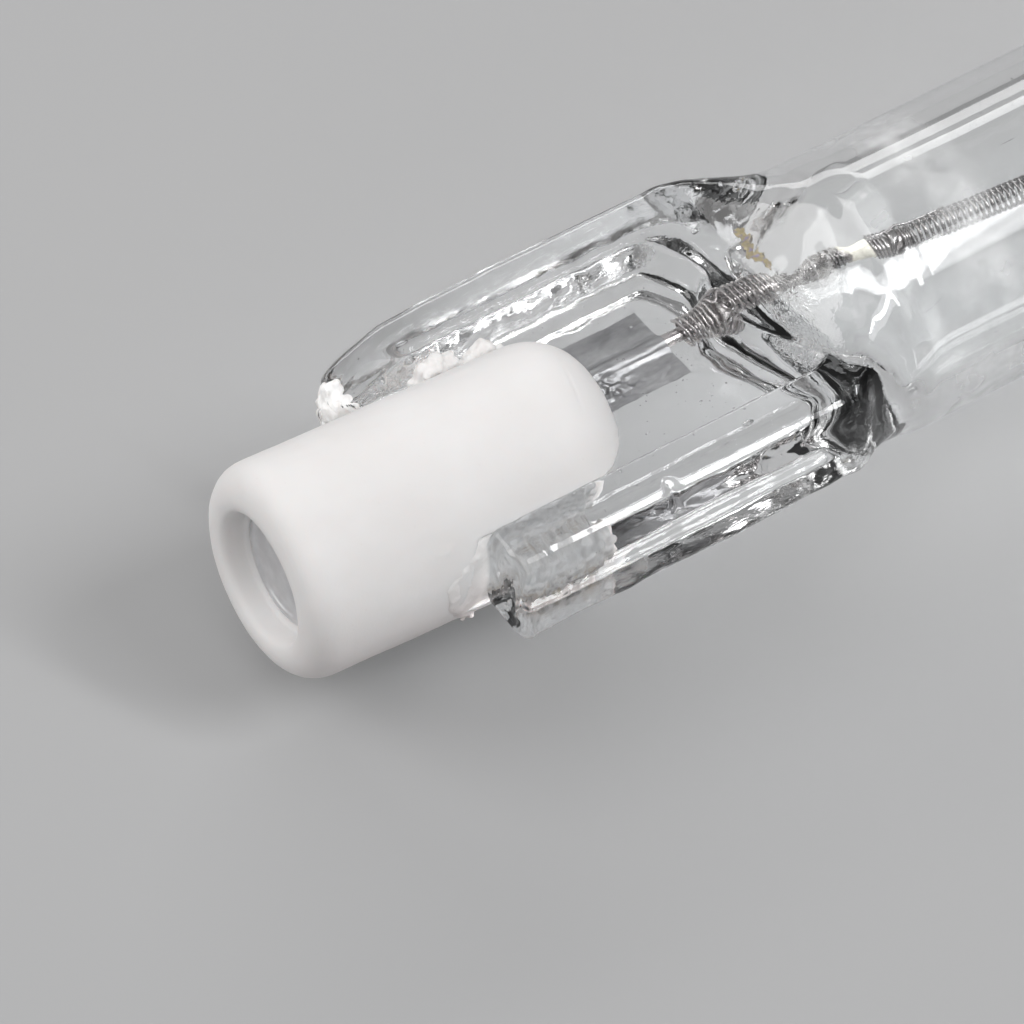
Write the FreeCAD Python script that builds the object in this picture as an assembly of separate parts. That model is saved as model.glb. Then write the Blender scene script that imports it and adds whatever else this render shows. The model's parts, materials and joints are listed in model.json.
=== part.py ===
import FreeCAD, Part
import math
import os

from FreeCAD import Placement, Rotation, Vector

# Double-ended linear halogen lamp: a clear quartz tube with a flat pinch seal at each end, a slotted ceramic cap
# cemented on each pinch, a recessed metal contact in each cap, molybdenum foils, leads and a long tungsten coil.
# Frame: +X runs along the lamp from the worn end to the plain end, +Z up, origin on the floor under the lamp's
# middle. The lamp lies on its tube with both pinches level. All sizes in millimetres.

# ---- driving dimensions --------------------------------------------------------------------------------------
LENGTH = 116.6            # over both ceramic end faces, 118 mm class
TUBE_OD = 9.5
TUBE_WALL = 1.0
AXIS_Z = TUBE_OD / 2      # the tube lies on the floor
INSET = 0.05             # the pressed ends are a little thinner where they pass into the round tube

CAP_R = 3.6               # ceramic cap
CAP_LEN = 12.75           # on its axis, end face to the dome's flat
CAP_END_FILLET = 1.04
CAP_DOME_R = 2.4
RECESS_R = 2.1            # recess for the holder's sprung contact
RECESS_DEPTH = 1.0
RECESS_LIP_R = 0.4
SEAT_R = 1.95             # seat of the contact disc
SEAT_DEPTH = 1.5
CAP_BORE_R = 0.65         # for the contact's shank and the outer lead
SLOT_FLOOR = 4.4          # slot for the pinch
SLOT_H = 3.0

CONTACT_R = 1.93
CONTACT_RIM_IN = 1.62
CONTACT_RIM_UP = 0.08
SHANK_R = 0.6
SHANK_END = 3.8
SHANK_HOLE = 2.8          # the outer lead is fixed in a blind hole from here
LEAD_R = 0.28

PINCH_START = 6.2         # measured inward from the cap's end face, like every x below
POCKET_END = 18.35
TRANSITION_END = 22.9     # full round tube from here
RAIL_HALF_T = 1.8
WEB_HALF_T = 0.9

FOIL_START, FOIL_END = 7.6, 16.06
FOIL_W, FOIL_T = 3.13, 0.035
RIDGE_START = 13.2        # the inner lead starts here, under the foil
OUTER_LEAD_END = 9.3
LEAD_COIL_R = 0.635
LEAD_COIL_X = (16.7, 20.6)
LEG_WIND_R = 0.38
LEG_WIND_X = (20.6, 24.0)
HEAD_R = 0.34             # thicker end of the inner lead, inside the first turns of the filament
HEAD_X = (24.05, 25.3)

COIL_R = 0.5              # outer and inner radius of the filament
COIL_BORE_R = 0.34
COIL_START = 24.4
COIL_BEND = 25.6
FIRST_SUPPORT = 38.3

SUPPORT_X = (-20.0, -10.0, 0.0, 10.0, 20.0)
SUPPORT_ANGLE = (35.0, 160.0, 280.0, 75.0, 215.0)
SUPPORT_RING_R = 3.6
SUPPORT_LOOP_R = 0.62
SUPPORT_WIRE_R = 0.1

TIP_X = 4.6               # sealed exhaust tip
TIP_BASE_R, TIP_TOP_R, TIP_H = 1.55, 0.65, 0.95

# what differs between the two ends: the worn end's pinch and cap sit a little off, the other end is plain
WORN = dict(
    y=(-5.42, 6.13), pocket=(-3.5, 4.0), cz=0.35, lead_y=1.13,
    yaw=-1.9, pitch=1.9, lift=0.1, slant=7.0,
)
PLAIN = dict(
    y=(-5.7, 5.7), pocket=(-3.6, 3.6), cz=0.0, lead_y=0.0,
    yaw=0.0, pitch=0.0, lift=0.0, slant=0.0,
)
PIVOT = 7.0               # the cap is skewed about this point of its axis

X = Vector(1, 0, 0)


# ---- helpers -------------------------------------------------------------------------------------------------
def rod(r, x0, x1, y=0.0, z=0.0):
    return Part.makeCylinder(r, x1 - x0, Vector(x0, y, z), X)


def rod_between(r, p, q):
    d = q.sub(p)
    return Part.makeCylinder(r, d.Length, p, d)


def section(x, y0, y1, z0, z1, n, count=40):
    """Closed smooth curve in the plane at x: a superellipse between y0..y1 and z0..z1 with exponent n."""
    cy, cz, a, b = (y0 + y1) / 2, (z0 + z1) / 2, (y1 - y0) / 2, (z1 - z0) / 2
    points = []
    for i in range(count):
        t = 2 * math.pi * i / count
        c, s = math.cos(t), math.sin(t)
        points.append(
            Vector(
                x,
                cy + a * math.copysign(abs(c) ** (2 / n), c),
                cz + b * math.copysign(abs(s) ** (2 / n), s),
            )
        )
    curve = Part.BSplineCurve()
    curve.interpolate(points, PeriodicFlag=True)
    return Part.Wire([curve.toShape()])


def one_solid(shape, name, merge=True):
    if merge:
        shape = shape.removeSplitter()
    solids = shape.Solids
    if len(solids) != 1:
        print("   ", name, "has", len(solids), "solids:", [round(s.Volume, 4) for s in solids])
        keep = max(solids, key=lambda s: s.Volume)
        return keep
    return solids[0]


# ---- ceramic cap, contact ------------------------------------------------------------------------------------
def ceramic_cap(end):
    r, f = CAP_R, CAP_END_FILLET
    long = CAP_LEN + 3
    k = math.sqrt(0.5)
    edges = [
        Part.LineSegment(Vector(0, 0, 0), Vector(0, r - f, 0)),
        Part.Arc(Vector(0, r - f, 0), Vector(f - f * k, r - f + f * k, 0), Vector(f, r, 0)),
        Part.LineSegment(Vector(f, r, 0), Vector(long, r, 0)),
        Part.LineSegment(Vector(long, r, 0), Vector(long, 0, 0)),
        Part.LineSegment(Vector(long, 0, 0), Vector(0, 0, 0)),
    ]
    body = Part.Face(Part.Wire([e.toShape() for e in edges])).revolve(Vector(), X, 360)
    body = Part.Solid(body.Shells[0]) if not body.Solids else body.Solids[0]
    # the domed end: a plane cut, slightly aslant on the worn end, with a large fillet
    cut = Part.makeBox(10, 20, 20, Vector(0, -10, -10))
    cut.Placement = Placement(Vector(CAP_LEN, 0, 0), Rotation(Vector(0, 0, 1), -end["slant"]))
    body = body.cut(cut)
    rim = [
        e for e in body.Edges
        if e.BoundBox.XMin > CAP_LEN - 2 and e.BoundBox.YLength > 6 and e.BoundBox.ZLength > 6
    ]
    body = body.makeFillet(CAP_DOME_R, rim)
    # recess with a rounded lip, seat of the contact, bore
    lip = RECESS_LIP_R
    edges = [
        Part.LineSegment(Vector(-1, 0, 0), Vector(-1, RECESS_R + lip, 0)),
        Part.LineSegment(Vector(-1, RECESS_R + lip, 0), Vector(0, RECESS_R + lip, 0)),
        Part.Arc(
            Vector(0, RECESS_R + lip, 0),
            Vector(lip - lip * k, RECESS_R + lip - lip * k, 0),
            Vector(lip, RECESS_R, 0),
        ),
        Part.LineSegment(Vector(lip, RECESS_R, 0), Vector(RECESS_DEPTH, RECESS_R, 0)),
        Part.LineSegment(Vector(RECESS_DEPTH, RECESS_R, 0), Vector(RECESS_DEPTH, SEAT_R, 0)),
        Part.LineSegment(Vector(RECESS_DEPTH, SEAT_R, 0), Vector(SEAT_DEPTH, SEAT_R, 0)),
        Part.LineSegment(Vector(SEAT_DEPTH, SEAT_R, 0), Vector(SEAT_DEPTH, CAP_BORE_R, 0)),
        Part.LineSegment(Vector(SEAT_DEPTH, CAP_BORE_R, 0), Vector(SLOT_FLOOR + 1, CAP_BORE_R, 0)),
        Part.LineSegment(Vector(SLOT_FLOOR + 1, CAP_BORE_R, 0), Vector(SLOT_FLOOR + 1, 0, 0)),
        Part.LineSegment(Vector(SLOT_FLOOR + 1, 0, 0), Vector(-1, 0, 0)),
    ]
    recess = Part.Face(Part.Wire([e.toShape() for e in edges])).revolve(Vector(), X, 360)
    body = body.cut(recess)
    slot = Part.makeBox(20, 20, SLOT_H, Vector(SLOT_FLOOR, -10, -SLOT_H / 2))
    return one_solid(body.cut(slot), "ceramic_cap")


def contact():
    r, up = CONTACT_R, CONTACT_RIM_UP
    points = [
        (RECESS_DEPTH + up, 0), (RECESS_DEPTH + up, CONTACT_RIM_IN), (RECESS_DEPTH, CONTACT_RIM_IN + 0.1),
        (RECESS_DEPTH, r - 0.08), (RECESS_DEPTH + up, r), (SEAT_DEPTH, r), (SEAT_DEPTH, SHANK_R),
        (SHANK_END, SHANK_R), (SHANK_END, LEAD_R), (SHANK_HOLE, LEAD_R), (SHANK_HOLE, 0), (RECESS_DEPTH + up, 0),
    ]
    wire = Part.makePolygon([Vector(a, b, 0) for a, b in points])
    return Part.Face(wire).revolve(Vector(), X, 360)


# ---- quartz --------------------------------------------------------------------------------------------------
def monotone(xs, ys, x):
    """Smooth curve through the points that never overshoots them (monotone cubic)."""
    slopes = [(b - a) / (q - p) for a, b, p, q in zip(ys, ys[1:], xs, xs[1:])]
    d = [slopes[0]] + [
        0.0 if a * b <= 0 else 2 * a * b / (a + b) for a, b in zip(slopes, slopes[1:])
    ] + [slopes[-1]]
    i = max(0, min(len(xs) - 2, sum(x >= v for v in xs) - 1))
    h = xs[i + 1] - xs[i]
    t = (x - xs[i]) / h
    return (
        ys[i] * (1 + 2 * t) * (1 - t) ** 2 + d[i] * h * t * (1 - t) ** 2
        + ys[i + 1] * t * t * (3 - 2 * t) + d[i + 1] * h * t * t * (t - 1)
    )


def skin(table, stations):
    """Closed solid through the sections (x, y0, y1, z0, z1, n) of the table, evened out at the stations."""
    columns = list(zip(*table))
    wires = [section(x, *(monotone(columns[0], c, x) for c in columns[1:])) for x in stations]
    return Part.makeLoft(wires, True, False)


def stations(*spans):
    """x values: each span is (from, to, number of steps)."""
    out = [spans[0][0]]
    for a, b, n in spans:
        out += [a + (b - a) * (i + 1) / n for i in range(n)]
    return out


def quartz_outside(end):
    """The pinch as a rounded bar that widens into the round tube, with a pressed pocket on each face."""
    y0, y1 = end["y"]
    z0, z1 = end["cz"] - RAIL_HALF_T, end["cz"] + RAIL_HALF_T
    r = TUBE_OD / 2 - INSET
    last = TRANSITION_END + 0.5
    table = [
        (PINCH_START, y0 + 0.75, y1 - 0.9, z0 + 0.62, z1 - 0.62, 3.2),
        (PINCH_START + 0.25, y0 + 0.38, y1 - 0.52, z0 + 0.27, z1 - 0.27, 3.8),
        (PINCH_START + 0.9, y0 + 0.12, y1 - 0.25, z0 + 0.04, z1 - 0.04, 4.4),
        (PINCH_START + 4.5, y0, y1, z0, z1, 4.8),
        (POCKET_END - 2.0, y0, y1, z0, z1, 4.8),
        (POCKET_END + 0.5, y0 + 0.02, y1 - 0.05, z0 - 0.12, z1 + 0.1, 4.2),
        (POCKET_END + 1.9, y0 + 0.2, y1 - 0.45, z0 - 1.2, z1 + 0.85, 3.1),
        (POCKET_END + 3.2, -r - 0.1, r + 0.3, -r + 0.6, r - 0.5, 2.35),
        (TRANSITION_END - 0.2, -r, r, -r, r, 2.0),
        (last, -r, r, -r, r, 2.0),
    ]
    along = stations(
        (PINCH_START, PINCH_START + 0.9, 5), (PINCH_START + 0.9, POCKET_END - 2.0, 5),
        (POCKET_END - 2.0, TRANSITION_END - 0.2, 13), (TRANSITION_END - 0.2, last, 2),
    )
    bar = skin(table, along)
    p0, p1 = end["pocket"]
    for side in (1, -1):
        web = end["cz"] + side * WEB_HALF_T
        depth = 4.0
        low = web if side > 0 else web - depth
        box = Part.makeBox(POCKET_END - PINCH_START + 2, p1 - p0, depth, Vector(PINCH_START - 2, p0, low))
        upright = [
            e for e in box.Edges
            if e.BoundBox.ZLength > depth - 0.1 and e.BoundBox.XMin > POCKET_END - 0.1
        ]
        box = box.makeFillet(1.7, upright)
        floor = [e for e in box.Edges if abs(e.BoundBox.ZMin - web) < 1e-4 and abs(e.BoundBox.ZMax - web) < 1e-4
                 and e.BoundBox.XMax > PINCH_START - 1.5]
        box = box.makeFillet(0.45, floor)
        bar = bar.cut(box)
    return bar


def bore_end(end):
    """The flattened end of the tube's bore, towards the pinch."""
    r = TUBE_OD / 2 - TUBE_WALL - INSET
    y, z = end["lead_y"] * 0.4, end["cz"]
    last = TRANSITION_END + 0.9
    table = [
        (POCKET_END + 1.2, y - 1.7, y + 1.9, z - 0.42, z + 0.42, 2.0),
        (POCKET_END + 1.7, y - 2.7, y + 2.7, z - 0.85, z + 0.85, 2.1),
        (POCKET_END + 3.0, -3.3, 3.35, -2.1, 2.3, 2.1),
        (TRANSITION_END - 0.1, -r + 0.06, r - 0.06, -r + 0.3, r - 0.25, 2.05),
        (TRANSITION_END + 0.4, -r, r, -r, r, 2.0),
        (last, -r, r, -r, r, 2.0),
    ]
    return skin(table, stations((POCKET_END + 1.2, TRANSITION_END + 0.4, 10), (TRANSITION_END + 0.4, last, 2)))


# ---- foil, leads, windings -----------------------------------------------------------------------------------
def foil(end):
    yc, z = end["lead_y"], end["cz"]
    y0, y1 = yc - FOIL_W / 2, yc + FOIL_W / 2
    flat = Part.makeBox(RIDGE_START - FOIL_START, FOIL_W, FOIL_T, Vector(FOIL_START, y0, z))
    ri, ro, t = LEAD_R, LEAD_R + FOIL_T, FOIL_T
    k = math.sqrt(ro * ro - t * t)
    x = RIDGE_START
    edges = [
        Part.LineSegment(Vector(x, y0, z), Vector(x, yc - ri, z)),
        Part.Arc(Vector(x, yc - ri, z), Vector(x, yc, z + ri), Vector(x, yc + ri, z)),
        Part.LineSegment(Vector(x, yc + ri, z), Vector(x, y1, z)),
        Part.LineSegment(Vector(x, y1, z), Vector(x, y1, z + t)),
        Part.LineSegment(Vector(x, y1, z + t), Vector(x, yc + k, z + t)),
        Part.Arc(Vector(x, yc + k, z + t), Vector(x, yc, z + ro), Vector(x, yc - k, z + t)),
        Part.LineSegment(Vector(x, yc - k, z + t), Vector(x, y0, z + t)),
        Part.LineSegment(Vector(x, y0, z + t), Vector(x, y0, z)),
    ]
    ridge = Part.Face(Part.Wire([e.toShape() for e in edges])).extrude(Vector(FOIL_END - x, 0, 0))
    return one_solid(flat.fuse(ridge), "foil")


def outer_lead(end, cap_place):
    """Wire from the contact's shank, bent in the cement, and flattened where it is welded on the foil."""
    y, z = end["lead_y"], end["cz"] + FOIL_T + 0.2
    p = [
        cap_place.multVec(Vector(SHANK_HOLE, 0, 0)),
        cap_place.multVec(Vector(SLOT_FLOOR + 0.2, 0, 0)),
        Vector(PINCH_START - 0.25, y, z),
        Vector(OUTER_LEAD_END, y, z),
    ]
    wire = rod_between(LEAD_R, p[0], p[1])
    for a, b in ((p[1], p[2]), (p[2], p[3])):
        wire = wire.fuse(Part.makeSphere(LEAD_R, a)).fuse(rod_between(LEAD_R, a, b))
    under = Part.makeBox(4, 2, 1, Vector(FOIL_START, y - 1, end["cz"] + FOIL_T - 1))
    return one_solid(wire.cut(under), "outer_lead")


def inner_lead(end):
    y, z = end["lead_y"], end["cz"]
    return one_solid(rod(LEAD_R, RIDGE_START, HEAD_X[0], y, z).fuse(rod(HEAD_R, *HEAD_X, y, z)), "inner_lead")


def winding(end, r, x):
    y, z = end["lead_y"], end["cz"]
    return one_solid(rod(r, x[0], x[1], y, z).cut(rod(LEAD_R, x[0] - 1, x[1] + 1, y, z)), "winding")


# ---- cement --------------------------------------------------------------------------------------------------
def cement(end, cap_place):
    slot = Part.makeBox(5.6, 6.1, SLOT_H, Vector(SLOT_FLOOR, -3.05, -SLOT_H / 2))
    slot.Placement = cap_place.multiply(slot.Placement)
    out = slot
    if end is WORN:
        # crumbs pressed out between the cap and the far rail, and a smear on the near side below the slot
        lumps = [
            (6.6, 3.35, 0.9, 0.62), (7.3, 3.5, 1.15, 0.66), (8.1, 3.6, 1.3, 0.7), (8.9, 3.55, 1.45, 0.62),
            (9.6, 3.5, 1.15, 0.66), (10.2, 3.45, 0.9, 0.5), (7.7, 3.5, 0.3, 0.7), (8.8, 3.5, 0.3, 0.7),
            (5.9, -3.2, -0.2, 0.55), (6.6, -3.15, -0.7, 0.5), (5.3, -3.2, -0.75, 0.5), (7.3, -3.2, -0.3, 0.5),
            (4.7, -3.25, -1.0, 0.42), (6.0, 3.2, 0.3, 0.5), (5.2, 3.1, 0.2, 0.4),
        ]
    else:
        lumps = [
            (6.8, 3.3, 0.2, 0.5), (7.8, 3.3, -0.1, 0.5), (8.8, 3.3, 0.1, 0.5),
            (6.8, -3.3, -0.2, 0.5), (7.8, -3.3, 0.1, 0.5), (8.8, -3.3, 0.0, 0.5),
        ]
    for x, y, z, r in lumps:
        out = out.fuse(Part.makeSphere(r, Vector(x, y, z)))
    return out


# ---- one end -------------------------------------------------------------------------------------------------
def build_end(end):
    turn = Rotation(Vector(0, 0, 1), end["yaw"]).multiply(Rotation(Vector(0, 1, 0), end["pitch"]))
    pivot = Vector(PIVOT, 0, 0)
    place = Placement(Vector(0, 0, end["lift"]), Rotation()).multiply(
        Placement(pivot, turn).multiply(Placement(pivot.negative(), Rotation()))
    )
    cap, button = ceramic_cap(end), contact()
    cap.Placement = place
    button.Placement = place
    parts = {
        "ceramic_cap": cap,
        "contact": button,
        "outer_lead": outer_lead(end, place),
        "foil": foil(end),
        "inner_lead": inner_lead(end),
        "lead_coil": winding(end, LEAD_COIL_R, LEAD_COIL_X),
        "leg_winding": winding(end, LEG_WIND_R, LEG_WIND_X),
    }
    metal = [
        parts["outer_lead"],
        parts["foil"],
        rod(LEAD_R, RIDGE_START, LEAD_COIL_X[0] + 0.1, end["lead_y"], end["cz"]),
        rod(LEAD_COIL_R, *LEAD_COIL_X, end["lead_y"], end["cz"]),
    ]
    return parts, quartz_outside(end), bore_end(end), metal, cement(end, place), place


def move_worn(shape):
    shape = shape.copy()
    shape.Placement = Placement(Vector(-LENGTH / 2, 0, AXIS_Z), Rotation()).multiply(shape.Placement)
    return shape


def move_plain(shape):
    shape = shape.copy()
    turn = Placement(Vector(LENGTH / 2, 0, AXIS_Z), Rotation(Vector(0, 0, 1), 180))
    shape.Placement = turn.multiply(shape.Placement)
    return shape


def support(x, angle):
    """A wire ring in the bore, a spoke, and a loop round the filament."""
    w = SUPPORT_WIRE_R
    ring = Part.makeTorus(SUPPORT_RING_R, w, Vector(), X, 0, 360, 330)
    ring.rotate(Vector(), X, -angle)
    loop = Part.makeTorus(SUPPORT_LOOP_R, w, Vector(), X)
    # the spoke meets the ring where its arc starts
    start = min(
        (e for e in ring.Edges if e.Length < 4 * math.pi * w and abs(e.Length - 2 * math.pi * w) < 0.05),
        key=lambda e: e.CenterOfMass.y,
    ).CenterOfMass
    out = Vector(0, start.y, start.z).normalize()
    spoke = rod_between(w, out * (SUPPORT_LOOP_R - 0.02), out * SUPPORT_RING_R)
    shape = loop.fuse(spoke).fuse(ring).fuse(Part.makeSphere(w, out * SUPPORT_RING_R))
    shape = one_solid(shape, "support")
    shape.translate(Vector(x, 0, AXIS_Z))
    return shape


def filament():
    half = LENGTH / 2
    y, z = WORN["lead_y"], WORN["cz"] + AXIS_Z
    path = [
        Vector(COIL_START - half, y, z),
        Vector(COIL_BEND - half, y, z),
        Vector(FIRST_SUPPORT - half, 0, AXIS_Z),
        Vector(half - COIL_START, 0, AXIS_Z),
    ]

    def along(r, more):
        p = list(path)
        p[0] = p[0] - X * more
        p[-1] = p[-1] + X * more
        shape = rod_between(r, p[0], p[1])
        for a, b in ((p[1], p[2]), (p[2], p[3])):
            shape = shape.fuse(Part.makeSphere(r, a)).fuse(rod_between(r, a, b))
        return shape

    return one_solid(along(COIL_R, 0).cut(along(COIL_BORE_R, 1)), "filament")


def main():
    os.makedirs("parts", exist_ok=True)
    nodes = {}
    outside, bore, metal = [], [], []
    cements = {}
    for name, end, move in (("a", WORN, move_worn), ("b", PLAIN, move_plain)):
        parts, quartz, hollow, wires, filler, place = build_end(end)
        for key, shape in parts.items():
            nodes[f"{key}_{name}"] = move(shape)
        outside.append(move(quartz))
        bore.append(move(hollow))
        metal += [move(s) for s in wires]
        cements[name] = move(filler)
        if name == "a":
            mouth = place.multVec(Vector(0, 0, 0))
            axis = place.Rotation.multVec(Vector(-1, 0, 0))
            print("worn recess mouth", [round(v, 4) for v in (mouth.x - LENGTH / 2, mouth.y, mouth.z + AXIS_Z)],
                  "axis", [round(v, 6) for v in axis])

    # envelope: tube, two pinches and the exhaust tip in one piece, hollow, with room for what is sealed in it
    from_x, to_x = -LENGTH / 2 + TRANSITION_END, LENGTH / 2 - TRANSITION_END
    tube = rod(TUBE_OD / 2, from_x, to_x, 0, AXIS_Z)
    top = AXIS_Z + TUBE_OD / 2
    tip = Part.makeCone(TIP_BASE_R, TIP_TOP_R, TIP_H + 0.6, Vector(TIP_X, 0, top - 0.6))
    tip = tip.fuse(Part.makeSphere(TIP_TOP_R, Vector(TIP_X, 0, top + TIP_H)))
    envelope = tube.fuse(tip)
    for bar in outside:
        envelope = envelope.fuse(bar)
        print("    envelope", round(envelope.Volume, 3), len(envelope.Solids))
    bore_from, bore_to = -LENGTH / 2 + TRANSITION_END + 0.6, LENGTH / 2 - TRANSITION_END - 0.6
    hollow = rod(TUBE_OD / 2 - TUBE_WALL, bore_from, bore_to, 0, AXIS_Z)
    for piece in bore:
        hollow = hollow.fuse(piece)
    print("    bore", round(hollow.Volume, 3), len(hollow.Solids))
    envelope = envelope.cut(hollow)
    print("    hollow envelope", round(envelope.Volume, 3), len(envelope.Solids))
    for piece in metal:
        envelope = envelope.cut(piece)
        print("    with room for metal", round(envelope.Volume, 3), len(envelope.Solids))
    nodes["quartz_envelope"] = one_solid(envelope, "quartz_envelope", merge=False)

    for name, shape in cements.items():
        shape = shape.cut(nodes[f"ceramic_cap_{name}"]).cut(nodes["quartz_envelope"])
        shape = shape.cut(nodes[f"outer_lead_{name}"]).cut(nodes[f"contact_{name}"])
        nodes[f"cement_{name}"] = one_solid(shape, "cement")

    nodes["filament"] = filament()
    for i, (x, angle) in enumerate(zip(SUPPORT_X, SUPPORT_ANGLE), 1):
        nodes[f"filament_support_{i}"] = support(x, angle)

    for name, shape in sorted(nodes.items()):
        box = shape.BoundBox
        print(
            f"{name:22s} {shape.ShapeType:8s} valid {shape.isValid()} volume {shape.Volume:10.4f} "
            f"x {box.XMin:8.3f} {box.XMax:8.3f} y {box.YMin:7.3f} {box.YMax:7.3f} z {box.ZMin:7.3f} {box.ZMax:7.3f}"
        )
        shape.exportStep(f"parts/{name}.step")
    return nodes


main()
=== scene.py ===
import json
import math
import random

import bmesh
import bpy
import numpy as np
from mathutils import Matrix, Vector, noise

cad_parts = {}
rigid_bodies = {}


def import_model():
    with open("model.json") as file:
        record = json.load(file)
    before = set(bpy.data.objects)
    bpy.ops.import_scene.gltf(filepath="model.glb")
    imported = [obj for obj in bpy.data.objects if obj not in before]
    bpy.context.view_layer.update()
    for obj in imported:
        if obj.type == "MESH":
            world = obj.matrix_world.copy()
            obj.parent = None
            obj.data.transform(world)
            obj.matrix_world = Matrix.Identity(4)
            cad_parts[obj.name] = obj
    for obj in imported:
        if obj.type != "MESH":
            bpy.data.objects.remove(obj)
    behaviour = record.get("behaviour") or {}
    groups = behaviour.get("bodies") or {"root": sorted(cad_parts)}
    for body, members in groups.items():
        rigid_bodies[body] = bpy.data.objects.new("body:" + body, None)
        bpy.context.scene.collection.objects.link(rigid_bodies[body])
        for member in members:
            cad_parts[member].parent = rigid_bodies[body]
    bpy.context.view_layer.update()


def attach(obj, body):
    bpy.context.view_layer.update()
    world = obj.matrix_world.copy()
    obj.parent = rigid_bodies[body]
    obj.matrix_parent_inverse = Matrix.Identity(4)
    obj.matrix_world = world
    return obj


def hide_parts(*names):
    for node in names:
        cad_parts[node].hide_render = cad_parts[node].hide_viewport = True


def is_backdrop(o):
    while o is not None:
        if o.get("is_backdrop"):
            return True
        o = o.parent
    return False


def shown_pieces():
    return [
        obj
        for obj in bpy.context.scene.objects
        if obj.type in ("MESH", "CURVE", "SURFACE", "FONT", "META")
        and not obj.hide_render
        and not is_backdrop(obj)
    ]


# Linear halogen lamp lying on its tube. Lengths in the code below are millimetres unless a name ends in _m; meshes are
# scaled to metres when they are made. A point of an end is (x', y, z'): x' inward from the cap's end face, z' from the
# tube's axis. End a is at -X, end b is the same thing turned half round.

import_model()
LEN, AXIS_Z, TUBE_R, BORE_R = 116.6, 4.75, 4.75, 3.75
HALF = LEN / 2


# ---------------------------------------------------------------------------------------------------- small maths
def smooth(a, b, x):
    t = np.clip((np.asarray(x, float) - a) / (b - a), 0, 1)
    return t * t * (3 - 2 * t)


def curve(table, x):
    """Monotone cubic through (x, value) pairs: no overshoot."""
    xs, ys = np.array([p[0] for p in table], float), np.array([p[1] for p in table], float)
    h = np.diff(xs)
    s = np.diff(ys) / h
    d = np.zeros(len(xs))
    inner = s[:-1] * s[1:] > 0
    d[1:-1][inner] = 2 * s[:-1][inner] * s[1:][inner] / (s[:-1][inner] + s[1:][inner])
    x = np.clip(np.asarray(x, float), xs[0], xs[-1])
    i = np.clip(np.searchsorted(xs, x, side="right") - 1, 0, len(xs) - 2)
    t = (x - xs[i]) / h[i]
    return (
        ys[i] * (1 + 2 * t) * (1 - t) ** 2 + d[i] * h[i] * t * (1 - t) ** 2
        + ys[i + 1] * t * t * (3 - 2 * t) + d[i + 1] * h[i] * t * t * (t - 1)
    )


def wobble(p, scale, seed):
    """Smooth noise, about -1 to 1, at each point."""
    off = Vector((seed * 7.31, seed * 3.17, seed * 5.53))
    return np.array([noise.noise(Vector(q) / scale + off) for q in p]) * 1.6


def new_mesh(name, verts, faces, sharp=None):
    """verts in mm."""
    me = bpy.data.meshes.new(name)
    me.from_pydata([tuple(v) for v in np.asarray(verts, float) * 0.001], [], [tuple(f) for f in faces])
    me.validate()
    for p in me.polygons:
        p.use_smooth = True
    if sharp:
        me.set_sharp_from_angle(angle=math.radians(sharp))
    ob = bpy.data.objects.new(name, me)
    bpy.context.scene.collection.objects.link(ob)
    return ob


def place(p, end):
    """Local (x', y, z') of an end to the row frame, in mm."""
    p = np.asarray(p, float)
    if end == "a":
        return np.stack([p[..., 0] - HALF, p[..., 1], p[..., 2] + AXIS_Z], -1)
    return np.stack([HALF - p[..., 0], -p[..., 1], p[..., 2] + AXIS_Z], -1)


def tube_along(path, r, sides=8, ends=True):
    """A round wire along points: verts and faces. The frame is carried along without twist."""
    path = np.asarray(path, float)
    n = len(path)
    tangent = np.gradient(path, axis=0)
    tangent /= np.linalg.norm(tangent, axis=1)[:, None]
    u = np.cross(tangent[0], [0.3, 0.5, 0.81])
    u /= np.linalg.norm(u)
    us = [u]
    for i in range(1, n):
        u = u - tangent[i] * (u @ tangent[i])
        u /= np.linalg.norm(u)
        us.append(u)
    us = np.array(us)
    vs = np.cross(tangent, us)
    r = np.broadcast_to(np.asarray(r, float), (n,))
    a = 2 * math.pi * np.arange(sides) / sides
    verts = (
        path[:, None, :]
        + r[:, None, None] * (np.cos(a)[None, :, None] * us[:, None, :] + np.sin(a)[None, :, None] * vs[:, None, :])
    ).reshape(-1, 3)
    faces = []
    for i in range(n - 1):
        for k in range(sides):
            j = (k + 1) % sides
            faces.append((i * sides + k, i * sides + j, (i + 1) * sides + j, (i + 1) * sides + k))
    if ends:
        faces.append(tuple(range(sides))[::-1])
        faces.append(tuple((n - 1) * sides + k for k in range(sides)))
    return verts, faces


def join(parts):
    verts, faces, base = [], [], 0
    for v, f in parts:
        verts.append(np.asarray(v, float).reshape(-1, 3))
        faces += [tuple(i + base for i in q) for q in f]
        base += len(verts[-1])
    return np.vstack(verts), faces


def ico(level):
    bm = bmesh.new()
    bmesh.ops.create_icosphere(bm, subdivisions=level, radius=1.0)
    v = np.array([p.co for p in bm.verts])
    f = [tuple(p.index for p in q.verts) for q in bm.faces]
    bm.free()
    return v, f


ICO1, ICO2, ICO3 = ico(1), ico(2), ico(3)


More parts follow.
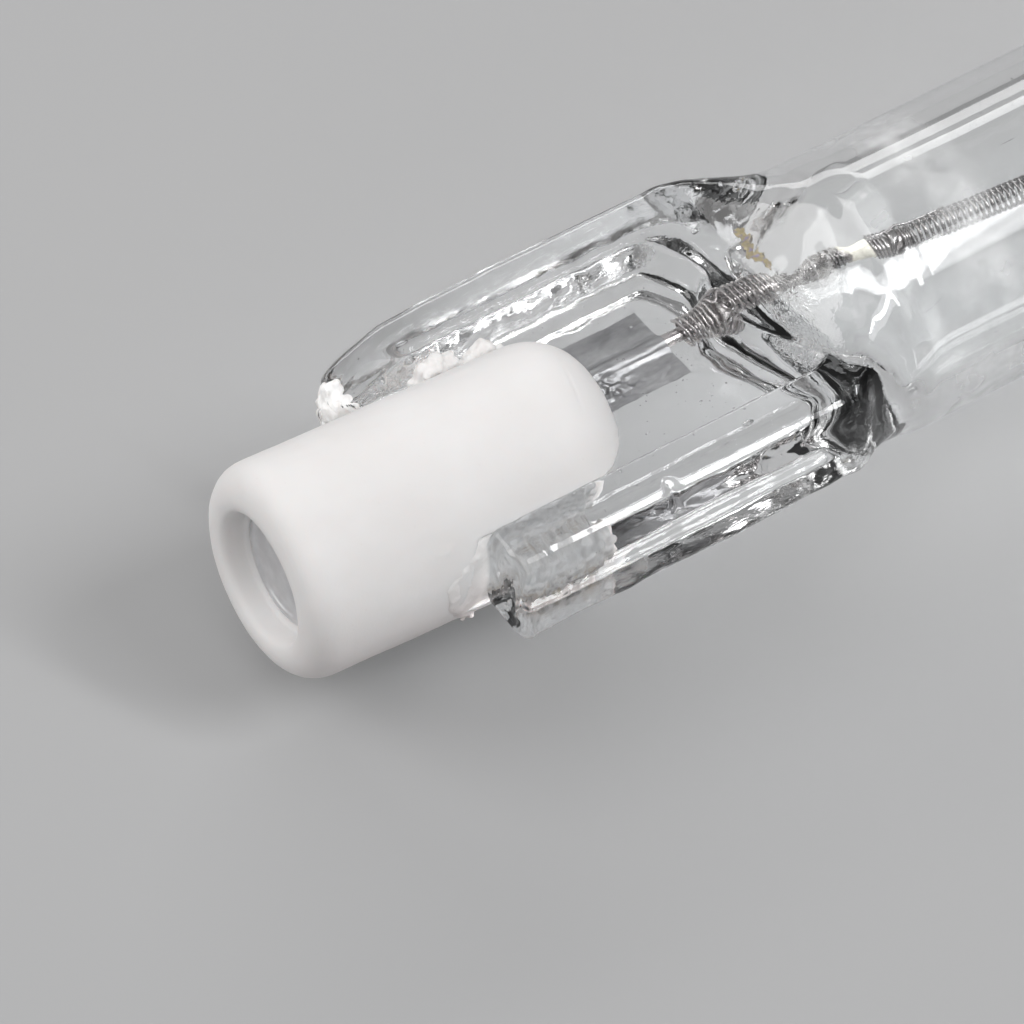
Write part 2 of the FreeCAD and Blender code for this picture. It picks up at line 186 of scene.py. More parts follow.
# --------------------------------------------------------------------------------------------------------- quartz
ENDS = {
    "a": dict(
        y0=[(6.2, -5.42), (18.5, -5.42), (19.2, -5.36), (19.9, -5.12), (20.8, -4.9), (22.0, -4.77), (22.9, -4.75)],
        y1=[(6.2, 5.15), (6.6, 5.45), (7.3, 5.8), (8.4, 6.02), (10.2, 6.13), (18.3, 6.1), (19.3, 5.98), (20.2, 5.72),
            (21.0, 5.3), (21.7, 4.98), (22.9, 4.78)],
        top=[(6.2, 1.8), (18.4, 1.8), (19.2, 2.05), (20.0, 2.75), (20.8, 3.65), (21.7, 4.42), (22.9, 4.75)],
        cz=[(6.2, 0.35), (19.6, 0.35), (22.2, 0.0), (22.9, 0.0)],
        pocket=(-3.5, 4.0), wall=[(-4.2, 19.35), (-3.0, 18.95), (-1.4, 18.35), (-0.2, 17.95), (0.5, 17.85),
                                  (1.2, 18.1), (1.9, 18.3), (2.8, 18.05), (3.4, 17.75), (4.2, 17.4)],
        lead_y=1.13, rl=0.42, rr=0.55, worn=1.0, seed=3, taper=0.15, soft=0.3,
    ),
    "b": dict(
        y0=[(6.2, -5.7), (18.5, -5.7), (19.4, -5.5), (20.2, -5.2), (21.0, -4.95), (22.0, -4.78), (22.9, -4.75)],
        y1=[(6.2, 5.7), (18.5, 5.7), (19.4, 5.5), (20.2, 5.2), (21.0, 4.95), (22.0, 4.78), (22.9, 4.75)],
        top=[(6.2, 1.8), (18.6, 1.8), (19.3, 1.98), (20.0, 2.5), (20.8, 3.35), (21.8, 4.2), (22.9, 4.75)],
        cz=[(6.2, 0.0), (22.9, 0.0)],
        pocket=(-3.6, 3.6), wall=[(-4.2, 18.0), (-2.0, 18.3), (0.0, 18.1), (2.0, 18.35), (4.2, 18.05)],
        lead_y=0.0, rl=0.48, rr=0.48, worn=0.35, seed=8, taper=0.15, soft=0.0,
    ),
}
M = 100  # points on the top half of a ring, and as many below
K = 1400


def half_path(e, x, side):
    """One half of a ring of the pinch, from its y0 edge over the top (side 1) or under the bottom (side -1)."""
    y0, y1 = float(curve(e["y0"], x)), float(curve(e["y1"], x))
    h, cz = float(curve(e["top"], x)), float(curve(e["cz"], x))
    # the open end is fire-rounded
    r_end = 0.38
    inset = r_end - math.sqrt(max(0.0, r_end**2 - (r_end - min(x - 6.2, r_end)) ** 2))
    y0, y1, h = y0 + inset, y1 - inset, h - inset
    grow = float(smooth(18.8, 21.0, x))
    rl, rr = min(e["rl"] + (e["soft"] if side > 0 else 0) + 1.4 * grow, h * 0.95), min(e["rr"] + 1.4 * grow, h * 0.95)
    # rounded rectangle by arc length: up the side, over the corner, along the face, and down
    q = math.pi / 2
    lens = np.array([h - rl, q * rl, (y1 - rr) - (y0 + rl), q * rr, h - rr])
    ends = np.concatenate([[0], np.cumsum(lens)])
    s = np.linspace(0, ends[-1], K)
    y, z = np.empty(K), np.empty(K)
    a = s <= ends[1]
    y[a], z[a] = y0, s[a]
    a = (s > ends[1]) & (s <= ends[2])
    t = (s[a] - ends[1]) / rl if rl > 0 else s[a] * 0
    y[a], z[a] = y0 + rl - rl * np.cos(t), h - rl + rl * np.sin(t)
    a = (s > ends[2]) & (s <= ends[3])
    y[a], z[a] = y0 + rl + (s[a] - ends[2]), h
    a = (s > ends[3]) & (s <= ends[4])
    t = (s[a] - ends[3]) / rr if rr > 0 else s[a] * 0
    y[a], z[a] = y1 - rr + rr * np.sin(t), h - rr + rr * np.cos(t)
    a = s > ends[4]
    y[a], z[a] = y1, h - rr - (s[a] - ends[4])
    # towards the tube the ring becomes an ellipse of the same size
    round_ = float(smooth(18.9, 21.9, x))
    if side < 0:
        # the rails' undersides slope up from their edges; the web between them doesn't
        p0, p1 = e["pocket"]
        web = smooth(p0 - 0.12, p0 + 0.34, y) * smooth(-p1 - 0.12, -p1 + 0.34, -y) * smooth(0.0, 0.85, curve(e["wall"], y) - x)
        z = z - e["taper"] * (1 - round_) * (1 - web) * np.clip(np.minimum(y - y0, y1 - y), 0, 1.9) * smooth(0.2, 0.9, z)
    th = math.pi * s / s[-1]
    ye, ze = (y0 + y1) / 2 - (y1 - y0) / 2 * np.cos(th), h * np.sin(th)
    y, z = y * (1 - round_) + ye * round_, z * (1 - round_) + ze * round_
    # pressed pocket
    p0, p1 = e["pocket"]
    reach = curve(e["wall"], y)
    across = smooth(p0 - 0.12, p0 + 0.34, y) * smooth(-p1 - 0.12, -p1 + 0.34, -y)
    along = smooth(0.0, 0.85, reach - x)
    depth = (h - 0.9 + inset) * across * along
    z = z - np.minimum(depth, np.maximum(z - 0.45, 0))
    return y, cz + side * z


def resample(y, z, m):
    ds = np.hypot(np.diff(y), np.diff(z))
    ang = np.unwrap(np.arctan2(np.diff(z), np.diff(y)))
    bend = np.abs(np.diff(ang))
    bend = np.concatenate([[0], bend, [0]])
    k = np.ones(41) / 41
    bend = np.convolve(bend, k, mode="same")
    w = ds * 1.0 + 0.28 * (bend[:-1] + bend[1:]) / 2
    c = np.concatenate([[0], np.cumsum(w)])
    t = np.linspace(0, c[-1], m + 1)
    return np.interp(t, c, y), np.interp(t, c, z)


def pinch_rings(name, xs):
    """(len(xs), 2 M, 3) points of the outside, in the end's own coordinates. Index 0 is the y0 edge, then over the top."""
    e = ENDS[name]
    rings = []
    for x in xs:
        yt, zt = resample(*half_path(e, x, 1), M)
        yb, zb = resample(*half_path(e, x, -1), M)
        y = np.concatenate([yt, yb[1:-1][::-1]])
        z = np.concatenate([zt, zb[1:-1][::-1]])
        rings.append(np.stack([np.full(len(y), x), y, z], -1))
    return np.array(rings)


def cells(p, scale, seed):
    """Chipped facets: each point's offset by the plane of its nearest random cell."""
    rng = np.random.default_rng(seed)
    lo, hi = p.min(0) - scale, p.max(0) + scale
    count = int(np.prod((hi - lo) / scale)) + 8
    sites = rng.uniform(lo, hi, (count, 3))
    tilt = rng.normal(0, 1, (count, 3))
    d = ((p[:, None, :] - sites[None]) ** 2).sum(-1)
    near = d.argmin(1)
    return ((p - sites[near]) * tilt[near]).sum(-1) / scale


def roughen(p, name):
    """Moves the outside's points (n, 3) a little, as pressed and broken glass is. p is in the end's coordinates."""
    e = ENDS[name]
    worn, seed = e["worn"], e["seed"]
    x, y, z = p[:, 0], p[:, 1], p[:, 2]
    p = p.copy()
    cz = curve(e["cz"], x)
    fade = 1 - smooth(20.5, 22.6, x)
    slow = wobble(p, 2.6, seed)
    mid = wobble(p, 0.75, seed + 1)
    # the near rail's upper outer edge was drawn clean
    clean = 1 - 0.7 * smooth(-4.4, -4.9, y) * smooth(0.4, 0.9, z - cz) if name == "a" else 1.0
    slow, mid = slow * clean, mid * clean
    fine = wobble(p * [0.55, 1, 1], 0.24, seed + 2)
    up = np.where(z >= cz, 1.0, -1.0)
    p0, p1 = e["pocket"]
    web = smooth(p0 - 0.1, p0 + 0.5, y) * smooth(-p1 - 0.1, -p1 + 0.5, -y) * (1 - smooth(18.0, 19.2, x))
    near = 0.08 if name == "a" else 1.0
    wall = near * np.exp(-(((y - p0 - 0.1) / 0.28) ** 2)) + np.exp(-(((y - p1 + 0.1) / 0.28) ** 2))
    wall = wall * (1 - smooth(18.2, 19.4, x))
    reach = curve(e["wall"], y)
    ramp = np.exp(-(((x - reach + 0.35) / 0.55) ** 2)) * (np.abs(y) < 4.3)
    edge = smooth(0.9, 0.2, np.minimum(y - curve(e["y0"], x), curve(e["y1"], x) - y))
    low = smooth(0.3, 1.1, -(z - cz)) * edge
    foot = np.maximum(wall, ramp) * worn
    p[:, 2] += fade * up * (0.022 * slow + 0.006 * mid + 0.010 * web * mid + foot * (0.022 * mid + 0.022 * fine))
    out = np.sign(y) * edge
    p[:, 1] += fade * out * (0.026 * slow + 0.006 * mid)
    # the lower outer edges are drawn into thin threads
    thread = wobble(p * [0.35, 1, 1], 0.16, seed + 7)
    p[:, 1] += fade * out * low * worn * (0.014 * mid + 0.022 * thread)
    p[:, 2] += fade * low * worn * 0.02 * thread
    p[:, 1] += fade * worn * wall * (0.05 * mid + 0.04 * fine * smooth(9.5, 11.0, x + 20 * (y > 0)))
    if name == "a":
        # a chip out of the near rail's upper edge
        nick = np.exp(-(((x - 12.0) / 0.16) ** 2)) * smooth(-4.7, -5.1, y) * smooth(0.7, 1.3, z - cz)
        p[:, 1] += 0.13 * nick
        p[:, 2] -= 0.10 * nick
    # the rails' open ends, chipped; most of all the far one
    far = np.where(y > 0, 1.0, 0.35)
    chip = worn * far * (1 - smooth(6.9, 8.3, x)) * smooth(2.6, 3.6, np.abs(y))
    if chip.max() > 0:
        on = chip > 0
        c = np.zeros(len(p))
        c[on] = np.clip(cells(p[on], 0.85, seed + 5), -1.3, 1.3)
        p[:, 0] += chip * (0.10 * c + 0.12 * slow)
        p[:, 2] += chip * up * 0.06 * c * (np.abs(z - cz) > 0.5)
        p[:, 1] += chip * out * 0.07 * c
    # the far rail's tip slopes off
    if name == "a":
        begin = 7.75 + 0.95 * np.clip(np.abs(y - 5.1) - 0.1, 0, 1.2) ** 2
        fall = 0.09 * np.log1p(np.exp(np.clip((begin - x) / 0.09, -30, 30)))
        tip = fall * smooth(3.4, 4.4, y)
        p[:, 2] -= tip * np.where(z > cz, 0.4, -0.12) * np.abs(z - cz) / 1.8
        p[:, 0] -= 0.62 * (1 - smooth(6.1, 8.4, x)) * smooth(2.9, 4.3, y)
    return p


def spans(*parts):
    out = [parts[0][0]]
    for a, b, step in parts:
        n = max(1, round((b - a) / step))
        out += [a + (b - a) * (i + 1) / n for i in range(n)]
    return np.array(out)


def grid_faces(rows, cols, base=0, closed=True, flip=False):
    faces = []
    for i in range(rows - 1):
        for k in range(cols if closed else cols - 1):
            j = (k + 1) % cols
            q = (base + i * cols + k, base + i * cols + j, base + (i + 1) * cols + j, base + (i + 1) * cols + k)
            faces.append(q[::-1] if flip else q)
    return faces


def outside():
    """Closed skin of the whole envelope: rings from the open end of pinch a to that of pinch b."""
    xa = spans((6.2, 6.6, 0.05), (6.6, 8.4, 0.1), (8.4, 17.2, 0.125), (17.2, 20.4, 0.085), (20.4, 22.9, 0.13))
    xb = spans((6.2, 6.6, 0.08), (6.6, 17.2, 0.22), (17.2, 20.4, 0.13), (20.4, 22.9, 0.2))
    n = 2 * M
    ra = pinch_rings("a", xa)
    rb = pinch_rings("b", xb)
    ra = place(roughen(ra.reshape(-1, 3), "a"), "a").reshape(len(xa), n, 3)
    rb = place(roughen(rb.reshape(-1, 3), "b"), "b").reshape(len(xb), n, 3)
    # end b is turned round, so its y runs the other way: put its index 0 at the frame's low-y edge
    order = [(M - k) % n for k in range(n)]
    rb = rb[::-1][:, order]
    # the tube's rings share the last ring's angles of each end, eased from one to the other
    ang_a = np.unwrap(np.arctan2(ra[-1, :, 2] - AXIS_Z, ra[-1, :, 1]))
    ang_b = np.unwrap(np.arctan2(rb[0, :, 2] - AXIS_Z, rb[0, :, 1]))
    ang_b += 2 * math.pi * round((ang_a[0] - ang_b[0]) / (2 * math.pi))
    tx = spans((-HALF + 22.9, 2.2, 2.2), (2.2, 7.0, 0.1), (7.0, HALF - 22.9, 2.2))[1:-1]
    tube = []
    for x in tx:
        s = float(smooth(-25, 25, x))
        a = ang_a * (1 - s) + ang_b * s
        r = TUBE_R + 0.012 * math.sin(x * 0.31) * float(smooth(HALF - 22.9, HALF - 28, abs(x)))
        tube.append(np.stack([np.full(n, x), r * np.cos(a), AXIS_Z + r * np.sin(a) + (TUBE_R - r)], -1))
    tube = exhaust_tip(np.array(tube))
    rings = np.concatenate([ra, tube, rb])
    verts = [rings.reshape(-1, 3)]
    # ring order is low y, over the top, high y: outward when wound this way
    faces = grid_faces(len(rings), n, 0, True, flip=True)
    base = len(rings) * n
    # open ends: a grid between the top and bottom halves of the first and last ring
    L = 14
    for r, first, out in ((ra, 0, -1), (rb, (len(rings) - 1) * n, 1)):
        ring = ra[0] if first == 0 else rb[-1]
        index = np.zeros((L + 1, M + 1), int)
        pts = []
        for j in range(M + 1):
            lo = (n - j) % n
            for k in range(L + 1):
                if k == 0:
                    index[k, j] = first + lo
                elif k == L:
                    index[k, j] = first + j
                elif j in (0, M):
                    index[k, j] = -1
                else:
                    index[k, j] = base + len(pts)
                    t = k / L
                    p = ring[lo] * (1 - t) + ring[j] * t
                    pts.append(p)
        pts = np.array(pts)
        bump = np.clip(cells(pts, 0.7, 40 + first), -1.2, 1.2)
        rim = np.ones(len(pts))
        far = np.where(pts[:, 1] > 0, 1.0, 0.4) if out < 0 else 0.35
        pts[:, 0] += out * (0.06 * bump + 0.03 * wobble(pts, 0.5, 5)) * rim * far
        verts.append(pts)
        base += len(pts)
        for k in range(L):
            for j in range(M):
                q = [index[k, j], index[k, j + 1], index[k + 1, j + 1], index[k + 1, j]]
                if j == 0:
                    if k == 0:
                        q = [index[0, 0], index[0, 1], index[1, 1]]
                    elif k == L - 1:
                        q = [index[0, 0], index[k, 1], index[L, 1]]
                    else:
                        q = [index[0, 0], index[k, 1], index[k + 1, 1]]
                elif j == M - 1:
                    if k == 0:
                        q = [index[0, M - 1], index[0, M], index[1, M - 1]]
                    elif k == L - 1:
                        q = [index[k, M - 1], index[0, M], index[L, M - 1]]
                    else:
                        q = [index[k, M - 1], index[0, M], index[k + 1, M - 1]]
                q = [v for i, v in enumerate(q) if v not in q[:i]]
                if len(q) >= 3:
                    faces.append(tuple(q if out == 1 else q[::-1]))
    return np.vstack(verts), faces


TIP = [(0.0, 1.6), (0.18, 1.56), (0.4, 1.42), (0.56, 1.2), (0.66, 0.95), (0.78, 0.65), (0.98, 0.36), (1.25, 0.16),
       (1.6, 0.04), (2.1, 0.0)]


def exhaust_tip(tube):
    """Pulls the tube's top up into the sealed exhaust tip near x = 4.6."""
    p = tube.reshape(-1, 3)
    dx, dy = p[:, 0] - 4.6, p[:, 1]
    rho = np.hypot(dx, dy)
    on = (rho < 2.1) & (p[:, 2] > AXIS_Z)
    # the profile by arc length, so that the steep side gets its share of points
    pr = np.array(TIP)[::-1]
    arc = np.concatenate([[0], np.cumsum(np.hypot(np.diff(pr[:, 0]), np.diff(pr[:, 1])))])
    want = (1 - rho[on] / 2.1) * arc[-1]
    r = np.interp(want, arc, pr[:, 0])
    h = np.interp(want, arc, pr[:, 1])
    k = r / np.maximum(rho[on], 1e-9)
    x, y = 4.6 + dx[on] * k, dy[on] * k
    # the tip is slightly bent over and uneven
    lean = h / 1.6
    p[on, 0] = x + 0.10 * lean**2
    p[on, 1] = y - 0.06 * lean**2
    p[on, 2] = AXIS_Z + np.sqrt(np.maximum(TUBE_R**2 - y**2, 0)) + h * (1 - 0.02 * np.sin(5 * np.arctan2(dy[on], dx[on])))
    return p.reshape(tube.shape)


def bore_ring(x, e, m):
    cy = e["lead_y"] * 0.4
    y0 = curve([(19.5, cy - 0.9), (19.7, cy - 1.7), (20.1, cy - 2.5), (20.8, -3.05), (21.8, -3.5), (22.9, -3.75)], x)
    y1 = curve([(19.5, cy + 0.9), (19.7, cy + 1.8), (20.1, cy + 2.5), (20.8, 3.1), (21.8, 3.52), (22.9, 3.75)], x)
    h = curve([(19.5, 0.2), (19.75, 0.5), (20.3, 1.05), (21.1, 1.95), (22.0, 2.95), (22.9, 3.55), (23.6, 3.75)], x)
    cz = curve(e["cz"], x) if x < 22.9 else 0.0
    t = 2 * math.pi * np.arange(m) / m
    y, z = (y0 + y1) / 2 - (y1 - y0) / 2 * np.cos(t), float(cz) + h * np.sin(t)
    p = np.stack([np.full(m, x), y, z], -1)
    fade = 1 - float(smooth(21.5, 23.0, x))
    w = wobble(p, 0.8, 31)
    p[:, 1] += 0.09 * fade * w * -np.cos(t)
    p[:, 2] += 0.06 * fade * w * np.sin(t)
    return p


def bore():
    """Inside skin of the tube, with the flattened ends: faces wound towards the hollow."""
    m = 96
    xs = spans((19.5, 20.6, 0.06), (20.6, 23.6, 0.12))
    a = np.array([place(bore_ring(x, ENDS["a"], m), "a") for x in xs])
    b = np.array([place(bore_ring(x, ENDS["b"], m), "b") for x in xs])
    order = [(m // 2 - k) % m for k in range(m)]
    b = b[::-1][:, order]
    t = 2 * math.pi * np.arange(m) / m
    tx = spans((-HALF + 23.6, HALF - 23.6, 3.4))[1:-1]
    mid = np.array([
        np.stack([np.full(m, x), -BORE_R * np.cos(t), AXIS_Z + BORE_R * np.sin(t)], -1) for x in tx
    ])
    rings = np.concatenate([a, mid, b])
    faces = grid_faces(len(rings), m, 0, True, flip=False)
    verts = [rings.reshape(-1, 3)]
    base = len(rings) * m
    for k, (ring, row) in enumerate(((a[0], 0), (b[-1], len(rings) - 1))):
        centre = ring.mean(0) + np.array([-0.12 if k == 0 else 0.12, 0, 0])
        verts.append(centre[None])
        for i in range(m):
            j = (i + 1) % m
            f = (row * m + i, row * m + j, base)
            faces.append(f if k == 0 else f[::-1])
        base += 1
    return np.vstack(verts), faces


def bubbles():
    """Voids in the glass: specks in the webs, lines drawn out along the tube's wall, and two blisters on the shoulder."""
    rng = random.Random(11)
    out = []

    def void(mesh, at, size):
        v, f = mesh
        out.append((v * np.asarray(size, float) + np.asarray(at, float), [q[::-1] for q in f]))

    for end, count in (("a", 330), ("b", 90)):
        e = ENDS[end]
        p0, p1 = e["pocket"]
        for _ in range(count):
            x = rng.uniform(6.8, 18.2)
            y = rng.uniform(p0 + 0.3, p1 - 0.3)
            if rng.random() < 0.18:
                y = rng.choice([rng.uniform(p0 - 1.5, p0), rng.uniform(p1, p1 + 1.6)])
            z = curve(e["cz"], x) + rng.uniform(-0.62, 0.62)
            if abs(y - e["lead_y"]) < 1.85 and abs(z - curve(e["cz"], x)) < 0.42:
                continue
            r = 0.016 + 0.03 * rng.random() ** 2.6
            long = rng.choice([1.0, 1.0, 1.6])
            void(ICO1, place([x, y, z], end), (r * long, r, r * 0.8))
    for _ in range(170):
        x = rng.uniform(-34, 34)
        a = rng.uniform(0, 2 * math.pi)
        r = rng.uniform(4.0, 4.6)
        if abs(x - 4.6) < 2.4 and math.sin(a) > 0.6:
            continue
        at = (x, r * math.cos(a), AXIS_Z + r * math.sin(a))
        if rng.random() < 0.55:
            w = rng.uniform(0.012, 0.022)
            void(ICO2, at, (rng.uniform(0.15, 0.6), w, w))
        else:
            w = 0.016 + 0.03 * rng.random() ** 2
            void(ICO1, at, (w * 1.2, w, w))
    for x, y, z, s in ((21.55, 4.05, 1.75, (0.34, 0.24, 0.2)), (21.85, 3.92, 1.2, (0.26, 0.13, 0.12)),
                       (19.9, 4.35, 0.2, (0.2, 0.1, 0.1)), (8.9, 5.2, 0.9, (0.24, 0.1, 0.08)),
                       (12.4, -4.6, 0.6, (0.3, 0.09, 0.08)), (15.7, -3.95, 1.35, (0.22, 0.1, 0.1))):
        void(ICO3, place([x, y, z], "a"), s)
    return out


quartz = new_mesh("quartz_glass", *join([outside(), bore()] + bubbles()))
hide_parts("quartz_envelope")
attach(quartz, "root")


# ------------------------------------------------------------------------------------------ leads, foils and coils
def helix(centre, radius, pitch, phase=0.0, per_turn=20, hand=1):
    """A coil about the line of centre points: its points. centre is dense and nearly straight."""
    centre = np.asarray(centre, float)
    ds = np.concatenate([[0], np.cumsum(np.linalg.norm(np.diff(centre, axis=0), axis=1))])
    n = int(ds[-1] / pitch * per_turn) + 1
    s = np.linspace(0, ds[-1], n)
    c = np.stack([np.interp(s, ds, centre[:, k]) for k in range(3)], -1)
    t = np.gradient(c, axis=0)
    t /= np.linalg.norm(t, axis=1)[:, None]
    u = np.cross(np.array([0, 0, 1.0]), t)
    u /= np.linalg.norm(u, axis=1)[:, None]
    v = np.cross(t, u)
    a = phase + hand * 2 * math.pi * s / pitch
    radius = np.interp(s, np.linspace(0, ds[-1], len(np.atleast_1d(radius))), np.atleast_1d(radius))
    return c + radius[:, None] * (np.cos(a)[:, None] * u + np.sin(a)[:, None] * v)


def line(p, q, n=40):
    t = np.linspace(0, 1, n)[:, None]
    return np.asarray(p, float) * (1 - t) + np.asarray(q, float) * t


def arc_points(r0, r1, x0, x1, n=5):
    """Barrel-shaped sleeve: (x, r) points with rounded ends."""
    t = np.linspace(0, math.pi / 2, n)
    k = 0.07
    left = [(x0 + k * (1 - math.cos(a)), r0 + (r1 - r0) * math.sin(a)) for a in t]
    right = [(x1 - k * (1 - math.cos(a)), r0 + (r1 - r0) * math.sin(a)) for a in t[::-1]]
    return left + right


def lead_line(end, x0, x1, n=60):
    e = ENDS[end]
    y, z = e["lead_y"], 0.35 if end == "a" else 0.0
    return place(line((x0, y, z), (x1, y, z), n), end)


def lead_path(end, x0, x1, n=60):
    """Line of the lead, which droops a little once it is clear of the glass in the worn end."""
    p = line((x0, 0, 0), (x1, 0, 0), n)
    if end == "a":
        low = smooth(22.3, 25.2, p[:, 0])
        p[:, 1] = 1.13 - 0.17 * low
        p[:, 2] = 0.35 - 0.13 * low
    return place(p, end)


for end in ("a", "b"):
    # the lead itself: a rod from under the foil, a pale sleeve on it, and the head inside the filament's first turns
    sleeve = arc_points(0.3, 0.37, 22.98, 23.36)
    xs = [13.2, 22.98] + [q[0] for q in sleeve] + [23.36, 25.25, 25.3]
    rs = [0.28, 0.28] + [q[1] for q in sleeve] + [0.31, 0.31, 0.25]
    dense = np.concatenate([np.linspace(13.2, 22.94, 30), np.array(xs[1:-3]), np.linspace(23.38, 25.25, 12), [25.3]])
    dense = np.maximum.accumulate(dense + 1e-4 * np.arange(len(dense)))
    p = lead_path(end, 0, 1, len(dense))
    q = np.stack([dense, 0 * dense, 0 * dense], -1)
    if end == "a":
        low = smooth(22.3, 25.2, dense)
        q[:, 1], q[:, 2] = 1.13 - 0.17 * low, 0.35 - 0.13 * low
    rad = np.interp(dense, np.maximum.accumulate(np.array(xs) + 1e-5 * np.arange(len(xs))), rs)
    ob = new_mesh(f"inner_lead_rod_{end}", *tube_along(place(q, end), rad, 28), sharp=45)
    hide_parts(f"inner_lead_{end}")
    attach(ob, "root")
    w = 0.066
    path = helix(lead_line(end, 16.7 + w, 20.6 - w), 0.625 - w, 0.245, phase=0.6, per_turn=26)
    rng = np.random.default_rng(5)
    path = path + 0.012 * np.stack([wobble(path, 0.5, s) for s in (1, 2, 3)], -1)
    ob = new_mesh(f"lead_coil_wire_{end}", *tube_along(path, w, 10))
    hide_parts(f"lead_coil_{end}")
    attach(ob, "root")
    w = 0.052
    path = helix(lead_path(end, 20.6 + w, 22.98 - w), 0.38 - w, 0.135, phase=2.0, per_turn=22)
    ob = new_mesh(f"leg_winding_wire_{end}", *tube_along(path, w, 8))
    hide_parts(f"leg_winding_{end}")
    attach(ob, "root")


def filament_centre():
    pts = [(23.4 - HALF, 1.1, AXIS_Z + 0.325), (25.2 - HALF, 0.96, AXIS_Z + 0.22), (38.3 - HALF, 0, AXIS_Z)]
    seg = [line(pts[0], pts[1], 20)[:-1], line(pts[1], pts[2], 60)[:-1]]
    marks = [pts[2][0], -10, 0, 10, 20, HALF - 23.4]
    for a, b in zip(marks, marks[1:]):
        p = line((a, 0, AXIS_Z), (b, 0, AXIS_Z), 40)
        t = np.linspace(0, 1, 40)
        p[:, 2] -= 0.07 * 4 * t * (1 - t)
        seg.append(p[:-1])
    seg.append(np.array([[HALF - 23.4, 0, AXIS_Z]]))
    p = np.vstack(seg)
    # ease the corners
    for _ in range(60):
        p[1:-1] = (p[:-2] + p[1:-1] * 2 + p[2:]) / 4
    return p


CENTRE = filament_centre()
wire = 0.058
path = helix(CENTRE, 0.45 - wire, 0.212, per_turn=20)
# the wire's tail lies straight along the first turns
tail = place(line((23.4, 1.12, 0.35 + 0.47), (26.7, 0.98, 0.2 + 0.52), 12), "a")
filament = new_mesh("filament_coil", *join([tube_along(path, wire, 7), tube_along(tail, 0.03, 8)]))
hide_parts("filament")
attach(filament, "root")

for i, (x, deg) in enumerate(zip((-20.0, -10.0, 0.0, 10.0, 20.0), (35.0, 160.0, 280.0, 75.0, 215.0)), 1):
    # one wire: close turns round the coil, a spoke, and an open ring that springs against the bore
    turns = []
    a0 = math.radians(deg)
    for k in range(61):
        t = k / 60
        a = a0 + 2 * math.pi * 2.25 * (t - 1)
        turns.append((x - 0.26 + 0.4 * t, 0.6 * math.cos(a), 0.6 * math.sin(a)))
    for k in range(1, 24):
        t = k / 24
        r = 0.6 + (3.6 - 0.6) * t
        turn = 0.28 * t * t * (3 - 2 * t)
        turns.append((x + 0.14, r * math.cos(a0 + turn), r * math.sin(a0 + turn)))
    for k in range(97):
        a = a0 + 0.28 + 2 * math.pi * 0.88 * k / 96
        turns.append((x + 0.14 + 0.25 * math.sin(2 * a) * k / 96 * 0.3, 3.62 * math.cos(a), 3.62 * math.sin(a)))
    p = np.array(turns) + [0, 0, AXIS_Z]
    for _ in range(3):
        p[1:-1] = (p[:-2] + p[1:-1] * 2 + p[2:]) / 4
    ob = new_mesh(f"support_wire_{i}", *tube_along(p, 0.085, 10))
    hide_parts(f"filament_support_{i}")
    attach(ob, "root")


def stain():
    """Thin film of tarnish on the flattened end of the bore, beside the lead."""
    n = 46
    rng = np.random.default_rng(13)
    u = np.linspace(0, 1, n)
    w = 0.27 * np.sin(math.pi * u**0.8) ** 0.7 * (0.45 + 0.75 * np.abs(np.interp(u * 16, np.arange(17), rng.uniform(0.0, 1, 17))))
    rows = 9
    top, low = [], []
    for i in range(n):
        x, y = 20.85 + 0.12 * math.sin(9 * u[i]) - 0.4 * u[i], 0.95 + 2.3 * (1 - u[i])
        z = 0.3 + 1.08 - 0.45 * (1 - u[i]) ** 2
        for k in range(rows):
            a = (k / (rows - 1) - 0.5) * 2
            h = 0.03 * noise.noise(Vector((u[i] * 9, a * 2, 4)))
            q = [x + a * w[i], y + 0.3 * a * w[i], z + h + 0.25 * a * w[i]]
            t = 0.012 * math.sqrt(max(0, 1 - a * a)) + 0.003
            top.append([q[0], q[1], q[2] + t])
            low.append([q[0], q[1], q[2] - t])
    faces, m = [], n * rows
    for i in range(n - 1):
        for k in range(rows - 1):
            b = i * rows + k
            faces.append((b, b + rows, b + rows + 1, b + 1))
            faces.append((m + b + 1, m + b + rows + 1, m + b + rows, m + b))
    for i in range(n - 1):
        b, c = i * rows, i * rows + rows - 1
        faces.append((b + rows, b, m + b, m + b + rows))
        faces.append((c, c + rows, m + c + rows, m + c))
    for k in range(rows - 1):
        b, c = k, (n - 1) * rows + k
        faces.append((b, b + 1, m + b + 1, m + b))
        faces.append((c + 1, c, m + c, m + c + 1))
    return place(np.vstack([top, low]), "a"), faces


tarnish = new_mesh("tarnish_film_a", *stain())
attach(tarnish, "root")


